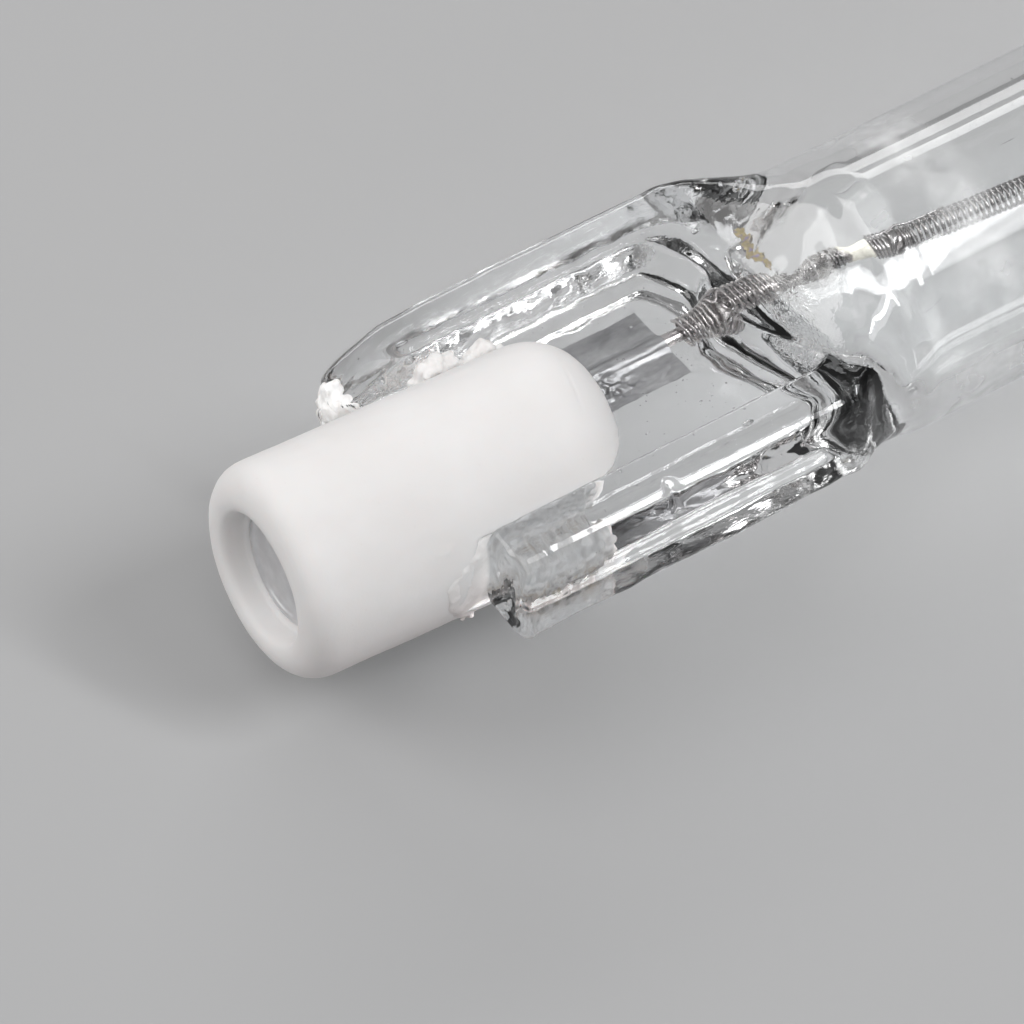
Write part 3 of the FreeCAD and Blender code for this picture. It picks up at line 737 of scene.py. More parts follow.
def foil(end):
    """Thin foil: feathered long edges, a ridge over the lead, a crumpled weld."""
    e = ENDS[end]
    yc, zc = e["lead_y"], 0.35 if end == "a" else 0.0
    nx, ny = (190, 90) if end == "a" else (100, 48)
    x = np.linspace(7.6, 16.06, nx)
    v = np.linspace(-1, 1, ny)
    X, V = np.meshgrid(x, v, indexing="ij")
    seed = 50 if end == "a" else 60
    edge = np.array([
        [0.035 * noise.noise(Vector((a * 2.1, s * 9.0, seed))) + 0.02 * noise.noise(Vector((a * 11.0, s * 5.0, seed)))
         for s in (-1, 1)] for a in x
    ])
    half = 3.13 / 2 + np.where(V < 0, edge[:, :1], edge[:, 1:])
    Y = V * half
    # the ridge: the foil follows the lead's upper half
    r = 0.28 + 0.012
    bump = np.sqrt(np.maximum(r**2 - np.clip(np.abs(Y) - 0.02, 0, None) ** 2, 0))
    skirt = 0.09 * np.exp(-((np.maximum(np.abs(Y) - r, 0) / 0.12) ** 2))
    grow = smooth(11.6, 13.3, X)
    Z = np.maximum(bump, skirt * (np.abs(Y) > r * 0.85)) * grow
    flat = np.array([noise.noise(Vector((a * 0.9, b * 1.3, seed + 3))) for a, b in zip(X.ravel(), Y.ravel())])
    fine = np.array([noise.noise(Vector((a * 4.5, b * 6.0, seed + 4))) for a, b in zip(X.ravel(), Y.ravel())])
    Z += (0.045 * flat + 0.012 * fine).reshape(X.shape)
    weld = np.exp(-(((X - 13.4) / 0.7) ** 2) - (((Y + 0.7) / 0.45) ** 2))
    Z += weld * (0.09 * np.sin(X * 7 + Y * 9) + 0.05 * fine.reshape(X.shape) * 3)
    T = 0.018 * np.sqrt(np.maximum(1 - V**2, 0)) + 0.0015
    top = np.stack([X, Y + yc, Z + zc + 0.0175 + T], -1).reshape(-1, 3)
    low = np.stack([X, Y + yc, Z + zc + 0.0175 - T], -1).reshape(-1, 3)
    faces = []
    n = nx * ny
    for i in range(nx - 1):
        for j in range(ny - 1):
            a = i * ny + j
            faces.append((a, a + ny, a + ny + 1, a + 1))
            faces.append((n + a + 1, n + a + ny + 1, n + a + ny, n + a))
    for i in range(nx - 1):
        a, b = i * ny, i * ny + ny - 1
        faces.append((a + ny, a, n + a, n + a + ny))
        faces.append((b, b + ny, n + b + ny, n + b))
    for j in range(ny - 1):
        a, b = j, (nx - 1) * ny + j
        faces.append((a, a + 1, n + a + 1, n + a))
        faces.append((b + 1, b, n + b, n + b + 1))
    return place(np.vstack([top, low]), end), faces


for end in ("a", "b"):
    ob = new_mesh(f"moly_foil_{end}", *foil(end), sharp=50)
    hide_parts(f"foil_{end}")
    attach(ob, "root")


# ------------------------------------------------------------------------------------------- caps, contacts, cement
def cap_matrix(end):
    """Local cap coordinates (x' along the cap's own axis) to the end's coordinates."""
    if end == "b":
        return Matrix.Identity(4)
    turn = Matrix.Rotation(math.radians(-1.9), 4, "Z") @ Matrix.Rotation(math.radians(1.9), 4, "Y")
    return Matrix.Translation((0, 0, 0.1)) @ Matrix.Translation((7, 0, 0)) @ turn @ Matrix.Translation((-7, 0, 0))


def lathe(profile, sides, shear=None):
    """Closed solid of revolution about x. profile is (x, r) from axis to axis."""
    prof = np.asarray(profile, float)
    verts = [[prof[0, 0], 0, 0]]
    rings = []
    a = 2 * math.pi * np.arange(sides) / sides
    for x, r in prof[1:-1]:
        rings.append(len(verts))
        verts += [[x, r * math.cos(t), r * math.sin(t)] for t in a]
    last = len(verts)
    verts.append([prof[-1, 0], 0, 0])
    faces = []
    for k in range(sides):
        j = (k + 1) % sides
        faces.append((0, rings[0] + k, rings[0] + j))
        for p, q in zip(rings, rings[1:]):
            faces.append((p + k, q + k, q + j, p + j))
        faces.append((last, rings[-1] + j, rings[-1] + k))
    return np.array(verts, float), faces


def arc(cx, cy, r, a0, a1, n):
    return [(cx + r * math.cos(math.radians(a0 + (a1 - a0) * i / n)), cy + r * math.sin(math.radians(a0 + (a1 - a0) * i / n)))
            for i in range(n + 1)]


def apply_modifiers(ob):
    dg = bpy.context.evaluated_depsgraph_get()
    me = bpy.data.meshes.new_from_object(ob.evaluated_get(dg))
    old = ob.data
    ob.modifiers.clear()
    ob.data = me
    bpy.data.meshes.remove(old)


def keep_largest(ob):
    """Drops loose crumbs of a mesh that a boolean or remesh has left."""
    bm = bmesh.new()
    bm.from_mesh(ob.data)
    seen, groups = set(), []
    for v in bm.verts:
        if v in seen:
            continue
        stack, group = [v], []
        seen.add(v)
        while stack:
            w = stack.pop()
            group.append(w)
            for ed in w.link_edges:
                o = ed.other_vert(w)
                if o not in seen:
                    seen.add(o)
                    stack.append(o)
        groups.append(group)
    groups.sort(key=len)
    bmesh.ops.delete(bm, geom=[v for g in groups[:-1] for v in g], context="VERTS")
    bm.to_mesh(ob.data)
    bm.free()


def ceramic(end):
    f, R = 1.04, 3.6
    profile = [(0.0 + 1.0, 0)]
    seat = [(1.5, 0), (1.5, 1.95), (1.0, 1.95), (1.0, 2.1), (0.72, 2.12), (0.42, 2.16)]
    lip = arc(0.42, 2.46, 0.3, 270, 180, 8)
    end_fillet = arc(f + 0.1, R - f, f, 180, 90, 14)
    dome = arc(12.75 - 2.4, R - 2.4, 2.4, 90, 0, 22)
    side = [(x, R) for x in np.linspace(f + 0.1, 12.75 - 2.4, 24)[1:-1]]
    profile = seat + lip[0:] + end_fillet + side + dome + [(12.75, 0)]
    clean = [profile[0]]
    for p in profile[1:]:
        if math.dist(p, clean[-1]) > 1e-4:
            clean.append(p)
    verts, faces = lathe(clean, 168)
    slant = math.tan(math.radians(7.0 if end == "a" else 0.0))
    verts[:, 0] += slant * verts[:, 1] * smooth(6.5, 11.0, verts[:, 0])
    if end == "a":
        # the lower jaw is shorter on the near side
        verts[:, 0] -= 0.65 * smooth(-1.1, -1.6, verts[:, 2]) * smooth(0.0, -2.4, verts[:, 1]) * smooth(8.5, 10.2, verts[:, 0])
    body = new_mesh(f"ceramic_body_{end}", verts, faces)
    box_v = np.array([[x, y, z] for x in (4.4, 20.0) for y in (-9, 9) for z in (-1.5, 1.5)], float)
    if end == "a":
        # the near side of the slot is filled flush as far as the ridge by the rail's end
        box_v[box_v[:, 1] < 0, 1] = -2.95
    box_f = [(0, 1, 3, 2), (4, 6, 7, 5), (0, 4, 5, 1), (2, 3, 7, 6), (0, 2, 6, 4), (1, 5, 7, 3)]
    cutter = new_mesh("cutter", box_v, box_f)
    if end == "a":
        side_v = np.array([[x, y, z] for x in (5.3, 20.0) for y in (-9, -2.9) for z in (-1.5, 1.5)], float)
        side_v[(side_v[:, 0] < 6) & (side_v[:, 2] > 0), 0] = 6.1
        side_cut = new_mesh("side_cut", side_v, box_f)
        bool_ = body.modifiers.new("side", "BOOLEAN")
        bool_.operation, bool_.solver, bool_.object = "DIFFERENCE", "EXACT", side_cut
    bool_ = body.modifiers.new("slot", "BOOLEAN")
    bool_.operation, bool_.solver, bool_.object = "DIFFERENCE", "EXACT", cutter
    bore_v, bore_f = lathe([(1.2, 0), (1.2, 0.65), (5.0, 0.65), (5.0, 0)], 40)
    drill = new_mesh("drill", bore_v, bore_f)
    bool_ = body.modifiers.new("bore", "BOOLEAN")
    bool_.operation, bool_.solver, bool_.object = "DIFFERENCE", "EXACT", drill
    mod = body.modifiers.new("mesh", "REMESH")
    mod.mode, mod.voxel_size, mod.use_smooth_shade = "VOXEL", 0.09e-3 if end == "a" else 0.115e-3, True
    mod.adaptivity = 0.0
    mod = body.modifiers.new("soft", "SMOOTH")
    mod.factor, mod.iterations = 0.5, 3
    apply_modifiers(body)
    for o in (cutter, drill) + ((side_cut,) if end == "a" else ()):
        bpy.data.objects.remove(o)
    keep_largest(body)
    me = body.data
    co = np.empty(len(me.vertices) * 3)
    me.vertices.foreach_get("co", co)
    co = co.reshape(-1, 3) * 1000
    nor = np.empty(len(me.vertices) * 3)
    me.vertices.foreach_get("normal", nor)
    nor = nor.reshape(-1, 3)
    seed = 70 if end == "a" else 75
    rad = np.hypot(co[:, 1], co[:, 2])
    amount = 0.012 * wobble(co, 2.2, seed) + 0.006 * wobble(co, 0.55, seed + 1)
    if end == "a":
        # faint line left by the mould where the dome starts, on the near side of the dome
        along = co[:, 0] - slant * co[:, 1]
        seam = np.exp(-(((along - (11.15 + 0.25 * np.sin(np.arctan2(co[:, 2], co[:, 1]) * 1.5))) / 0.05) ** 2))
        amount -= 0.022 * seam * smooth(-0.4, 0.5, wobble(co, 1.6, seed + 3)) * (rad > 1.5)
        # a burr and small bruises on the slot's edges and the rim
        amount += 0.03 * smooth(0.5, 1.2, wobble(co, 0.35, seed + 4)) * smooth(0.35, 0.0, np.abs(np.abs(co[:, 2]) - 1.5)) * (
            co[:, 0] > 4.4)
    co += nor * amount[:, None]
    m = cap_matrix(end)
    r = np.array(m.to_3x3())
    co = co @ r.T + np.array(m.translation)
    co = place(co, end) * 0.001
    me.vertices.foreach_set("co", co.ravel())
    me.update()
    for p in me.polygons:
        p.use_smooth = True
    return body


def contact(end):
    r, up = 1.93, 0.08
    prof = [(1.08, 0), (1.079, 0.4), (1.077, 0.9), (1.08, 1.4), (1.082, 1.6)]
    prof += [(1.06, 1.645), (1.03, 1.675), (1.008, 1.71), (1.0, 1.76), (1.0, 1.82), (1.01, 1.87), (1.035, 1.91), (1.08, 1.93)]
    prof += [(1.3, 1.93), (1.47, 1.93), (1.5, 1.9), (1.5, 0.62), (1.52, 0.6), (3.76, 0.6), (3.8, 0.56), (3.8, 0.28), (2.8, 0.28), (2.8, 0)]
    verts, faces = lathe(prof, 128)
    verts[:, 0] += 0.006 * wobble(verts, 0.9, 21) * (verts[:, 0] < 1.2)
    m = cap_matrix(end)
    verts = verts @ np.array(m.to_3x3()).T + np.array(m.translation)
    return place(verts, end), faces


def near_fill(m):
    """Curved slab whose outer face stands just above the cap's where cement shows, and sinks under it elsewhere."""
    nx, ns, inner = 96, 150, 2.6
    xs, ss = np.linspace(3.2, 7.4, nx), np.linspace(-4.4, 2.2, ns)
    X, S = np.meshgrid(xs, ss, indexing="ij")
    at = np.stack([X, S, 0 * X], -1).reshape(-1, 3)
    rag = wobble(at, 0.75, 61).reshape(X.shape)
    mid = wobble(at, 0.33, 62).reshape(X.shape)
    fine = wobble(at, 0.14, 63).reshape(X.shape)
    h = 0.014 * mid + 0.008 * fine + 0.012 * rag
    pts = [(7.0, 1.52), (6.4, 1.36), (5.75, 0.85), (4.95, 0.15), (5.15, -0.9), (5.95, -2.25)]
    d = np.full(X.shape, 9.0)
    for (x0, s0), (x1, s1) in zip(pts, pts[1:]):
        t = np.clip(((X - x0) * (x1 - x0) + (S - s0) * (s1 - s0)) / ((x1 - x0) ** 2 + (s1 - s0) ** 2), 0, 1)
        d = np.minimum(d, np.hypot(X - x0 - t * (x1 - x0), S - s0 - t * (s1 - s0)))
    h += (0.05 + 0.02 * mid) * np.exp(-((d / 0.26) ** 2)) - 0.02
    edge = np.interp(S, [-2.3, -0.9, 0.15, 0.85, 1.36, 1.52], [5.95, 5.15, 4.95, 5.75, 6.4, 7.0])
    right = X > edge
    h -= np.where(right, 0.1 * smooth(0.1, 0.7, d), 0.4 * smooth(0.14, 0.8, d + 0.07 * rag))
    h -= 0.4 * smooth(-2.2, -2.6, S) + 0.4 * smooth(1.5, 1.75, S)
    R, A = 3.6 + h, S / 3.6
    top = np.stack([X, -R * np.cos(A), R * np.sin(A)], -1).reshape(-1, 3)
    low = np.stack([X, -inner * np.cos(A), inner * np.sin(A)], -1).reshape(-1, 3)
    n, faces = nx * ns, []
    for i in range(nx - 1):
        for j in range(ns - 1):
            a = i * ns + j
            faces.append((a, a + 1, a + ns + 1, a + ns))
            faces.append((n + a + ns, n + a + ns + 1, n + a + 1, n + a))
    for i in range(nx - 1):
        a, b = i * ns, i * ns + ns - 1
        faces.append((a, a + ns, n + a + ns, n + a))
        faces.append((b + ns, b, n + b, n + b + ns))
    for j in range(ns - 1):
        a, b = j, (nx - 1) * ns + j
        faces.append((a + 1, a, n + a, n + a + 1))
        faces.append((b, b + 1, n + b + 1, n + b))
    v = np.vstack([top, low])
    return v @ np.array(m.to_3x3()).T + np.array(m.translation), faces


def cement(end):
    """Filling of the slot between cap and pinch, and the crumbs that were pressed out of it."""
    rng = random.Random(91 if end == "a" else 92)
    m = cap_matrix(end)
    parts = []
    v = np.array([[x, y, z] for x in (4.46, 9.9) for y in (-3.0, 3.0) for z in (-1.44, 1.44)], float)
    f = [(0, 1, 3, 2), (4, 6, 7, 5), (0, 4, 5, 1), (2, 3, 7, 6), (0, 2, 6, 4), (1, 5, 7, 3)]
    v = v @ np.array(m.to_3x3()).T + np.array(m.translation)
    parts.append((v, f))

    def lump(x, y, z, r, flat=1.0):
        a, b = ICO2
        n = np.array([noise.noise(Vector(q) * 1.6 + Vector((x * 3, y * 5, z * 7))) for q in a])
        parts.append((a * (r * (1 + 0.45 * n))[:, None] * [1, flat, 1] + [x, y, z], b))

    if end == "a":
        # far side: a ragged bank between the cap's flank and the rail, rising above the cap's outline
        bank = [(8.3, 3.45, 1.3, 0.42), (8.65, 3.5, 1.66, 0.48), (9.05, 3.55, 1.74, 0.52), (9.5, 3.55, 1.62, 0.46),
                (10.45, 3.5, 1.36, 0.42), (10.8, 3.5, 1.5, 0.44), (11.1, 3.35, 1.1, 0.3)]
        for x, y, z, r in bank:
            lump(x, y - 0.2, z - 0.55, 0.55)
            lump(x, y, z, r * 0.8)
            for _ in range(7):
                lump(x + rng.uniform(-0.35, 0.35), y + rng.uniform(-0.3, 0.2), z + rng.uniform(-0.6, 0.55 * r),
                     rng.uniform(0.12, 0.26))
        lump(10.05, 3.3, 1.35, 0.36)
        for _ in range(26):
            lump(rng.uniform(6.4, 8.0), rng.uniform(3.2, 3.65), rng.uniform(0.4, 1.3), rng.uniform(0.1, 0.26))
        for _ in range(30):
            lump(rng.uniform(5.75, 6.6), rng.uniform(3.2, 4.6), rng.uniform(-0.9, 0.6), rng.uniform(0.16, 0.36))
        # rounded dabs on the far rail's end face
        for x, y, z, r in ((6.15, 4.7, 0.5, 0.42), (6.1, 4.9, -0.25, 0.45), (6.2, 5.35, 0.25, 0.36), (6.25, 5.5, -0.4, 0.34),
                           (6.15, 4.4, -0.7, 0.4), (6.35, 5.05, 0.85, 0.26), (6.3, 4.4, 0.75, 0.3)):
            lump(x, y, z, r)
        # near side: flush filling of the slot, smeared over the cap's flank, with a ridge round the near rail's end
        parts.append(near_fill(m))
        for x, a_, r in ((5.98, -37, 0.13), (5.75, -40, 0.1), (5.2, -38, 0.07), (4.75, -37, 0.06), (4.3, -39, 0.07), (3.95, -36, 0.05)):
            lump(x, -3.6 * math.cos(math.radians(a_)), 3.6 * math.sin(math.radians(a_)) + 0.1, r)
        for x, a_, r in ((4.3, -22, 0.05), (3.9, -30, 0.05), (4.1, -34, 0.045)):
            lump(x, -3.6 * math.cos(math.radians(a_)), 3.6 * math.sin(math.radians(a_)) + 0.1, r)
        # what fills the slot against the near rail, with a ragged end
        v = np.array([[x, y, z] for x in (6.95, 9.9) for y in (-3.44, -2.8) for z in (-0.75, 1.52)], float)
        parts.append((v, f))
        for _ in range(46):
            r = rng.uniform(0.14, 0.28)
            lump(rng.uniform(9.7, 10.3), rng.uniform(-3.4 + r, -2.95), rng.uniform(-0.6, 1.2), r)
        for _ in range(26):
            r = rng.uniform(0.1, 0.22)
            lump(rng.uniform(6.6, 9.8), -3.42 + r, rng.uniform(-1.0, -0.65), r)
        for _ in range(14):
            r = rng.uniform(0.14, 0.24)
            lump(6.95 - abs(rng.gauss(0, 0.14)), -3.42 + r, rng.uniform(-0.6, 1.35), r)
    else:
        for side in (-1, 1):
            for _ in range(34):
                lump(rng.uniform(6.2, 9.8), side * rng.uniform(3.0, 3.5), rng.uniform(-0.8, 0.9), rng.uniform(0.1, 0.32))
    v, f = join(parts)
    ob = new_mesh(f"cement_fill_{end}", place(v, end), f)
    mod = ob.modifiers.new("mesh", "REMESH")
    mod.mode, mod.voxel_size, mod.use_smooth_shade = "VOXEL", 0.062e-3 if end == "a" else 0.09e-3, True
    mod = ob.modifiers.new("soft", "SMOOTH")
    mod.factor, mod.iterations = 0.5, 3
    apply_modifiers(ob)
    keep_largest(ob)
    me = ob.data
    co = np.empty(len(me.vertices) * 3)
    me.vertices.foreach_get("co", co)
    co = co.reshape(-1, 3) * 1000
    nor = np.empty(len(me.vertices) * 3)
    me.vertices.foreach_get("normal", nor)
    nor = nor.reshape(-1, 3)
    calm = smooth(-1.0, -2.5, co[:, 1]) * smooth(-HALF + 7.4, -HALF + 6.6, co[:, 0]) if end == "a" else 0.0
    co += nor * ((0.04 - 0.034 * calm) * wobble(co, 0.22, 97) + (0.016 - 0.012 * calm) * wobble(co, 0.1, 98))[:, None]
    me.vertices.foreach_set("co", (co * 0.001).ravel())
    me.update()
    for p in me.polygons:
        p.use_smooth = True
    return ob


for end in ("a", "b"):
    ob = ceramic(end)
    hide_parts(f"ceramic_cap_{end}")
    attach(ob, "root")
    ob = new_mesh(f"contact_button_{end}", *contact(end), sharp=40)
    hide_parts(f"contact_{end}")
    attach(ob, "root")
    ob = cement(end)
    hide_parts(f"cement_{end}")
    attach(ob, "root")


# ------------------------------------------------------------------------------------------------------ materials
class Mat:
    """A material with a Principled shader and short ways to add procedural nodes. Sizes are in metres, in the object's
    own coordinates, so the pattern is the same in every piece."""

    def __init__(self, name, **values):
        self.m = bpy.data.materials.new(name)
        self.m.use_nodes = True
        self.nt = self.m.node_tree
        self.p = self.nt.nodes["Principled BSDF"]
        self.out = self.nt.nodes["Material Output"]
        self.coord = self.nt.nodes.new("ShaderNodeTexCoord").outputs["Object"]
        for k, v in values.items():
            self.set(k, v)

    def set(self, key, v):
        key = {"color": "Base Color", "metal": "Metallic", "rough": "Roughness", "ior": "IOR",
               "trans": "Transmission Weight", "sss": "Subsurface Weight", "sss_scale": "Subsurface Scale",
               "sss_radius": "Subsurface Radius", "spec": "Specular IOR Level", "film": "Thin Film Thickness",
               "film_ior": "Thin Film IOR", "coat": "Coat Weight", "aniso": "Anisotropic"}[key]
        self.p.inputs[key].default_value = (*v, 1) if key == "Base Color" and len(v) == 3 else v

    def node(self, kind, inputs=(), **props):
        n = self.nt.nodes.new(kind)
        for k, v in props.items():
            setattr(n, k, v)
        for k, v in dict(inputs).items():
            if isinstance(v, bpy.types.NodeSocket):
                self.nt.links.new(v, n.inputs[k])
            else:
                n.inputs[k].default_value = v
        return n

    def noise(self, size_mm, detail=3.0, rough=0.5, stretch=(1, 1, 1), coord=None):
        m = self.node("ShaderNodeMapping", {"Vector": coord or self.coord, "Scale": tuple(1000 / size_mm / s for s in stretch)})
        n = self.node("ShaderNodeTexNoise", {"Vector": m.outputs[0], "Scale": 1.0, "Detail": detail, "Roughness": rough})
        return n.outputs["Fac"]

    def voronoi(self, size_mm, feature="F1", stretch=(1, 1, 1)):
        m = self.node("ShaderNodeMapping", {"Vector": self.coord, "Scale": tuple(1000 / size_mm / s for s in stretch)})
        n = self.node("ShaderNodeTexVoronoi", {"Vector": m.outputs[0], "Scale": 1.0}, feature=feature)
        return n.outputs["Distance"]

    def ramp(self, fac, *stops):
        n = self.node("ShaderNodeValToRGB", {"Fac": fac})
        el = n.color_ramp.elements
        while len(el) > len(stops):
            el.remove(el[-1])
        while len(el) < len(stops):
            el.new(1.0)
        for e, (pos, col) in zip(el, stops):
            e.position = pos
            e.color = (*col, 1) if isinstance(col, tuple) else (col, col, col, 1)
        return n.outputs["Color"]

    def value(self, fac, lo, hi, to_lo, to_hi):
        n = self.node("ShaderNodeMapRange", {"Value": fac, "From Min": lo, "From Max": hi, "To Min": to_lo, "To Max": to_hi})
        n.clamp = True
        return n.outputs["Result"]

    def math(self, op, a, b=0.0):
        n = self.node("ShaderNodeMath", {0: a, 1: b}, operation=op)
        return n.outputs[0]

    def mix(self, fac, a, b):
        n = self.nt.nodes.new("ShaderNodeMix")
        n.data_type = "RGBA"
        for i, v in ((0, fac), (6, a), (7, b)):
            if isinstance(v, bpy.types.NodeSocket):
                self.nt.links.new(v, n.inputs[i])
            else:
                n.inputs[i].default_value = v if i == 0 else (*v, 1)
        return n.outputs[2]

    def link(self, out, key):
        self.nt.links.new(out, self.p.inputs[key])

    def bump(self, *layers):
        """layers: (height socket, distance in mm, strength)."""
        last = None
        for h, dist, strength in layers:
            n = self.node("ShaderNodeBump", {"Height": h, "Distance": dist * 0.001, "Strength": strength})
            if last:
                self.nt.links.new(last, n.inputs["Normal"])
            last = n.outputs["Normal"]
        self.nt.links.new(last, self.p.inputs["Normal"])


def sep(mat, axis):
    n = mat.node("ShaderNodeSeparateXYZ", {"Vector": mat.coord})
    return n.outputs[axis]


# clear fused quartz: lets lamps through, so that what is sealed in it is lit
q = Mat("quartz_clear", color=(0.985, 0.99, 0.99), rough=0.0, ior=1.458, trans=1.0)
ends = q.math("ABSOLUTE", sep(q, "X"))
press = q.value(ends, 0.0365, 0.0385, 0.0, 1.0)
across = q.value(sep(q, "Y"), -0.0062, 0.0062, 0.0, 1.0)
foot = q.ramp(across, (0.0, 0.3), (0.06, 0.08), (0.17, 0.03), (0.205, 0.1), (0.25, 0.1), (0.76, 0.2), (0.81, 1.0),
              (0.85, 0.1), (0.95, 0.06), (1.0, 0.2))
slope = q.value(ends, 0.0402, 0.0396, 0.0, 0.55)
crest = q.math("MULTIPLY", q.value(sep(q, "Y"), -0.0044, -0.0048, 0.0, 1.0), q.value(sep(q, "Z"), 0.0054, 0.006, 0.0, 1.0))
lower = q.math("MULTIPLY", q.value(q.math("ABSOLUTE", sep(q, "Y")), 0.0048, 0.0052, 0.0, 1.0),
               q.value(sep(q, "Z"), 0.0047, 0.0041, 0.0, 1.0))
where = q.math("MULTIPLY", press, q.math("MAXIMUM", foot, slope))
wave = q.noise(1.3, 1.0, 0.5, stretch=(1.8, 1, 1))
grain = q.noise(0.13, 1.0, 0.55, stretch=(1.5, 1, 1))
pull = q.noise(0.5, 0.0, 0.5, stretch=(40, 1, 1))
calm = q.math("MULTIPLY", press, q.math("SUBTRACT", 1.0, crest))
# crackle on the flattened end of the bore, on the near side of the lead
crackle = q.math("MULTIPLY", q.math("MULTIPLY", q.value(ends, 0.0376, 0.0379, 0.0, 1.0), q.value(ends, 0.0394, 0.0391, 0.0, 1.0)),
                 q.math("MULTIPLY", q.value(sep(q, "Y"), -0.0036, -0.0031, 0.0, 1.0), q.value(sep(q, "Y"), 0.0003, -0.0003, 0.0, 1.0)))
crackle = q.math("MULTIPLY", crackle, q.math("MULTIPLY", q.value(sep(q, "Z"), 0.0034, 0.0038, 0.0, 1.0), q.value(sep(q, "Z"), 0.0067, 0.0063, 0.0, 1.0)))
crackle = q.math("MULTIPLY", crackle, q.value(sep(q, "X"), 0.0, -0.01, 0.0, 1.0))
threads = q.noise(0.075, 1.0, 0.6, stretch=(4, 1, 1))
cracks = q.math("ABSOLUTE", q.math("SUBTRACT", q.noise(0.13, 0.0), 0.5))
q.bump((q.math("MULTIPLY", cracks, crackle), 0.09, 0.9), (q.math("MULTIPLY", wave, calm), 0.03, 0.45), (q.math("MULTIPLY", threads, q.math("MULTIPLY", lower, press)), 0.014, 0.9), (q.math("MULTIPLY", grain, where), 0.016, 0.8), (pull, 0.0012, 0.3))
# faint white smoke left in the bore next to the seals
haze = q.math("MULTIPLY", q.value(q.noise(1.6, 2.0, 0.6), 0.42, 0.7, 0.0, 1.0),
              q.math("MULTIPLY", q.value(ends, 0.0315, 0.0325, 0.0, 1.0), q.value(ends, 0.0348, 0.0336, 0.0, 1.0)))
q.link(q.value(haze, 0.0, 1.0, 1.0, 0.72), "Transmission Weight")
clear = q.node("ShaderNodeBsdfTransparent", {"Color": (0.93, 0.935, 0.94, 1)})
path = q.node("ShaderNodeLightPath")
mixer = q.node("ShaderNodeMixShader")
q.nt.links.new(path.outputs["Is Shadow Ray"], mixer.inputs[0])
q.nt.links.new(q.p.outputs[0], mixer.inputs[1])
q.nt.links.new(clear.outputs[0], mixer.inputs[2])
q.nt.links.new(mixer.outputs[0], q.out.inputs["Surface"])

# steatite
c = Mat("steatite", color=(0.86, 0.84, 0.835), rough=0.62, spec=0.32, sss=0.22, sss_scale=0.0006, sss_radius=(1.0, 0.72, 0.6))
cloud = c.noise(3.2, 3.0, 0.55)
speck = c.voronoi(0.42)
base = c.ramp(cloud, (0.3, (0.79, 0.77, 0.76)), (0.7, (0.825, 0.812, 0.807)))
# towards the bottom of the near flank the ceramic is painted darker and pinker: partly the pinkish tint of cement
# smeared there, partly painted shade of the underside
smear_tint_and_shade = c.math("MULTIPLY", c.math("MULTIPLY", c.value(sep(c, "Z"), 0.0055, 0.0022, 0.0, 0.8), c.value(sep(c, "Y"), -0.0012, -0.003, 0.0, 1.0)),
               c.value(c.math("ABSOLUTE", sep(c, "X")), 0.0506, 0.053, 0.0, 1.0))
c.link(c.mix(c.value(speck, 0.02, 0.1, 0.18, 0.0), c.mix(smear_tint_and_shade, base, (0.76, 0.7, 0.69)), (0.66, 0.6, 0.56)), "Base Color")
c.link(c.value(c.noise(0.5, 3.0, 0.6), 0.3, 0.7, 0.5, 0.72), "Roughness")
c.bump((c.noise(0.11, 3.0, 0.65), 0.006, 0.55), (c.noise(0.9, 2.0, 0.5), 0.02, 0.3))

# cement
k = Mat("cap_cement", color=(0.82, 0.8, 0.78), rough=0.88, spec=0.2, sss=0.15, sss_scale=0.0003, sss_radius=(1, 0.8, 0.7))
pit = k.value(k.noise(0.33, 4.0, 0.7), 0.3, 0.42, 0.22, 0.0)
inside = k.math("MULTIPLY", k.value(sep(k, "Y"), -0.0031, -0.00335, 0.0, 1.0), k.value(sep(k, "X"), -0.0522, -0.0517, 0.0, 1.0))
low = k.math("MULTIPLY", inside, k.value(sep(k, "Z"), 0.0047, 0.004, 0.0, 1.0))
# towards the bottom of the near flank the cement is painted darker and pinker, like the cap: partly its pinkish smear
# tint, partly painted shade
shade_and_smear_pink = k.math("MULTIPLY", k.value(sep(k, "Z"), 0.0055, 0.0032, 0.0, 1.0), k.value(sep(k, "Y"), -0.001, -0.0025, 0.0, 1.0))
plain = k.ramp(k.noise(1.1, 4.0, 0.6), (0.28, (0.77, 0.745, 0.73)), (0.5, (0.835, 0.82, 0.81)), (0.75, (0.86, 0.85, 0.845)))
plain = k.mix(shade_and_smear_pink, plain, (0.77, 0.71, 0.695))
plain = k.mix(pit, plain, (0.45, 0.38, 0.34))
# painted shade: the cement lying against the near rail, seen through the glass, is painted a darker grey than the rest
painted_shade_grey = k.ramp(k.noise(0.9, 3.0, 0.5), (0.3, (0.47, 0.475, 0.48)), (0.7, (0.56, 0.56, 0.565)))
# lower down it is a brownish mottle: partly real mottling, partly painted shade in its darkest tones
mottle_and_shade = k.ramp(k.noise(0.42, 5.0, 0.7), (0.28, (0.08, 0.075, 0.075)), (0.38, (0.24, 0.225, 0.22)), (0.48, (0.42, 0.415, 0.415)),
                (0.56, (0.26, 0.22, 0.18)), (0.62, (0.4, 0.38, 0.35)), (0.74, (0.58, 0.57, 0.56)))
k.link(k.mix(low, k.mix(inside, plain, painted_shade_grey), mottle_and_shade), "Base Color")
k.link(k.value(k.noise(0.2, 2.0), 0.3, 0.7, 0.75, 0.95), "Roughness")
k.bump((k.noise(0.06, 4.0, 0.75), 0.02, 0.8), (k.noise(0.3, 3.0, 0.6), 0.04, 0.5))

